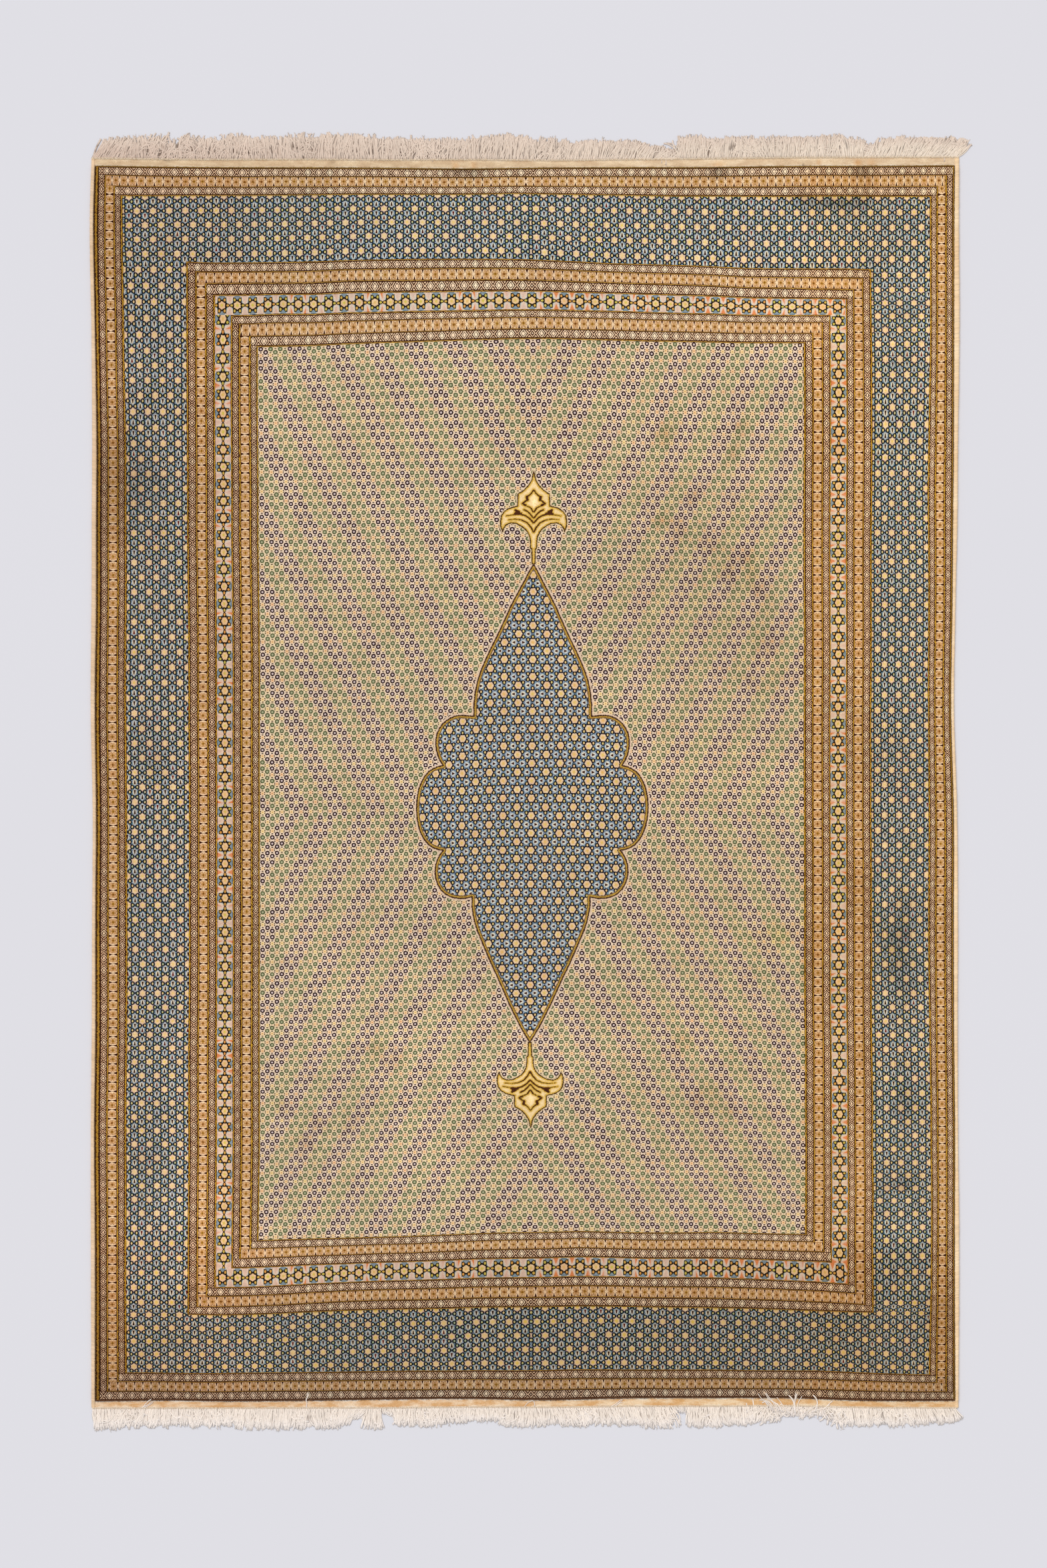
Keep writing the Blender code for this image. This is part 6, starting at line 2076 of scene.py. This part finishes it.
def tuft_material():
    """The outermost knots: olive and brown along the ends, gold and brown along the sides."""
    net = Net("edge_knot_tufts")
    chance, share, side = net.parts(net.attribute("strand"))
    places = net.node("ShaderNodeTexCoord").outputs["Object"]
    runs = net.clouds(places, 14.0, 2.0)
    pick = (chance.fit(0.6, 0.0) + runs.fit(1.2, -0.4))
    top = net.mix(pick, rgb(104, 72, 24), rgb(182, 146, 58))
    bottom = net.mix(pick, rgb(64, 36, 24), rgb(124, 86, 56))
    sides = net.mix(pick, rgb(80, 48, 20), rgb(166, 128, 52))
    colour = net.mix(side.over(0.5), top, net.mix(side.over(1.5), bottom, sides))
    return net.cloth(colour, None, 0.0)


def overcast_material(name, low, high):
    """Yarn wound round the edge: each turn its own tone, with darker grooves between."""
    net = Net(name)
    chance, angle, place = net.parts(net.attribute("strand"))
    places = net.node("ShaderNodeTexCoord").outputs["Object"]
    long_tone = net.clouds(net.joined(place.fit(7.0, 0.0), 0.0, 0.0), 1.0, 3.0, 0.6)
    colour = net.mix(long_tone.above(0.5, 0.5), low, high)
    fluff = net.clouds(places, 500.0, 2.0)
    colour = net.shaded(colour, chance.fit(0.20, 0.90), fluff.fit(0.2, 0.9))
    return net.cloth(colour, fluff, 0.0003, 0.9, 0.15)


def foundation_material():
    """The cotton ground's underside: ridges of knots in rows."""
    net = Net("foundation_cotton")
    u, v, _ = net.parts(net.attribute("loom"))
    rows = net.math("SINE", v.fit(2 * math.pi, 0.0))
    columns = net.math("SINE", u.fit(2 * math.pi, 0.0))
    tone = net.chance(u.floor(), v.floor(), 1.0)[0]
    colour = net.mix(tone, rgb(188, 160, 122), rgb(214, 190, 152))
    return net.cloth(colour, rows * columns, 0.0005, 0.9, 0.1)


# ----------------------------------------------------------------------------
# Floor, light and camera
# ----------------------------------------------------------------------------
def floor_material():
    """A smooth pale floor, very slightly uneven in tone."""
    net = Net("floor_pale")
    coordinates = net.node("ShaderNodeTexCoord").outputs["Object"]
    colour = net.mix(net.clouds(coordinates, 0.6, 1.0), (0.738, 0.731, 0.776, 1.0),
                     (0.752, 0.745, 0.790, 1.0))
    shader = net.node("ShaderNodeBsdfPrincipled")
    net.put(shader.inputs["Base Color"], colour)
    shader.inputs["Roughness"].default_value = 0.9
    shader.inputs["Specular IOR Level"].default_value = 0.0
    out = net.node("ShaderNodeOutputMaterial")
    net.put(out.inputs["Surface"], shader.outputs[0])
    return net.material


def floor():
    mesh = bpy.data.meshes.new("floor")
    reach = 60.0
    mesh.from_pydata([(-reach, -reach, 0.0), (reach, -reach, 0.0), (reach, reach, 0.0),
                      (-reach, reach, 0.0)], [], [(0, 1, 2, 3)])
    mesh.materials.append(floor_material())
    piece = bpy.data.objects.new("floor", mesh)
    bpy.context.scene.collection.objects.link(piece)


def lights():
    world = bpy.data.worlds.new("studio")
    world.use_nodes = True
    background = world.node_tree.nodes["Background"]
    background.inputs["Color"].default_value = (1.0, 1.0, 1.0, 1.0)
    background.inputs["Strength"].default_value = 0.62
    bpy.context.scene.world = world
    tilt = math.radians(35.0)
    lamp = bpy.data.lights.new("softbox", "SUN")
    lamp.energy = 0.38 * math.pi / math.cos(tilt)
    lamp.angle = math.radians(50.0)
    lamp.color = (1.0, 1.0, 1.0)
    light = bpy.data.objects.new("softbox", lamp)
    light.rotation_euler = (-tilt * 0.8, -tilt * 0.6, 0.0)
    bpy.context.scene.collection.objects.link(light)


def camera():
    """Straight above, as the photograph was taken."""
    data = bpy.data.cameras.new("camera")
    data.lens = 135.0
    data.sensor_width = 36.0
    data.sensor_fit = "AUTO"
    tall = 2349 * UNIT
    view = bpy.data.objects.new("camera", data)
    view.location = (to_x(784.0), to_y(1174.5), PILE_THICKNESS + tall * data.lens / 36.0)
    view.rotation_euler = (0.0, 0.0, 0.0)
    data.clip_end = 200.0
    bpy.context.scene.collection.objects.link(view)
    bpy.context.scene.camera = view


# ----------------------------------------------------------------------------
# Assembly
# ----------------------------------------------------------------------------
camera()
lights()
floor()
pieces = {"pile": pile_pieces(pile_materials())}
ground = foundation(foundation_material())
pieces["pile"].append(ground)
pieces["pile"].append(pile_tufts("pile_edge_tufts", 51, tuft_material()))
pieces["flat_weave_top"] = [kilim(
    "kilim_top_weave", pile_top, kilim_top, 1, 21, flat_weave_material(
        "flat_weave_top", rgb(220, 188, 150), rgb(240, 212, 174), rgb(248, 228, 200)),
    STAINS_TOP, (0.10, 0.12, 0.16))]
pieces["flat_weave_bottom"] = [kilim(
    "kilim_bottom_weave", pile_bottom, kilim_bottom, -1, 22, flat_weave_material(
        "flat_weave_bottom", rgb(228, 178, 124), rgb(250, 220, 186), rgb(254, 242, 228)),
    STAINS_BOTTOM, (0.02, 0.02, -0.05))]
loops = yarn_material("twined_cotton", rgb(238, 214, 182), rgb(252, 234, 208), None, 40.0)
pieces["flat_weave_top"].append(twining("kilim_top_twining", kilim_top, 1, 23, loops))
pieces["flat_weave_bottom"].append(twining("kilim_bottom_twining", kilim_bottom, -1, 24, loops))
pieces["overcast_left"] = [selvedge(
    "overcast_edge_left", pile_left, selvedge_left, 31,
    overcast_material("overcast_yarn_left", rgb(220, 186, 146), rgb(240, 212, 182)))]
pieces["overcast_right"] = [selvedge(
    "overcast_edge_right", pile_right, selvedge_right, 32,
    overcast_material("overcast_yarn_right", rgb(238, 198, 150), rgb(255, 230, 194)))]
COTTON_TOP = (rgb(217, 194, 178), rgb(240, 224, 206), rgb(228, 208, 192))
COTTON_BOTTOM = (rgb(248, 234, 222), rgb(250, 236, 222), rgb(246, 236, 230))
# depth: how strongly the bed and mat paint shadow into the gaps between strands near the roots
pieces["fringe_top"] = fringe(
    "fringe_top_strands", CLUMPS_TOP, CURLY_TOP, kilim_top, 1, 41, 0.55,
    fringe_material("fringe_cotton_top", *COTTON_TOP),
    fringe_material("fringe_cotton_top_bed", *COTTON_TOP, depth=0.75, slope=-0.15),
    fringe_material("fringe_cotton_top_mat", *COTTON_TOP, depth=0.95, slope=-0.15))
# depth: how strongly the bed and mat paint shadow into the gaps between strands near the roots
pieces["fringe_bottom"] = fringe(
    "fringe_bottom_strands", CLUMPS_BOTTOM, CURLY_BOTTOM, kilim_bottom, -1, 42, 0.36,
    fringe_material("fringe_cotton_bottom", *COTTON_BOTTOM),
    fringe_material("fringe_cotton_bottom_bed", *COTTON_BOTTOM, depth=0.35, slope=0.2),
    fringe_material("fringe_cotton_bottom_mat", *COTTON_BOTTOM, depth=0.6, slope=0.2), FLUNG)
NODE_OF = {"pile": "pile", "flat_weave_top": "kilim_top", "flat_weave_bottom": "kilim_bottom",
           "overcast_left": "selvedge_left", "overcast_right": "selvedge_right",
           "fringe_top": "fringe_top", "fringe_bottom": "fringe_bottom"}
for slot, group in pieces.items():
    for piece in group:
        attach(piece, "root")
        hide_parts(NODE_OF[slot])
[piece for group in pieces.values() for piece in group if piece != ground]

bpy.context.scene.view_settings.view_transform = "Standard"
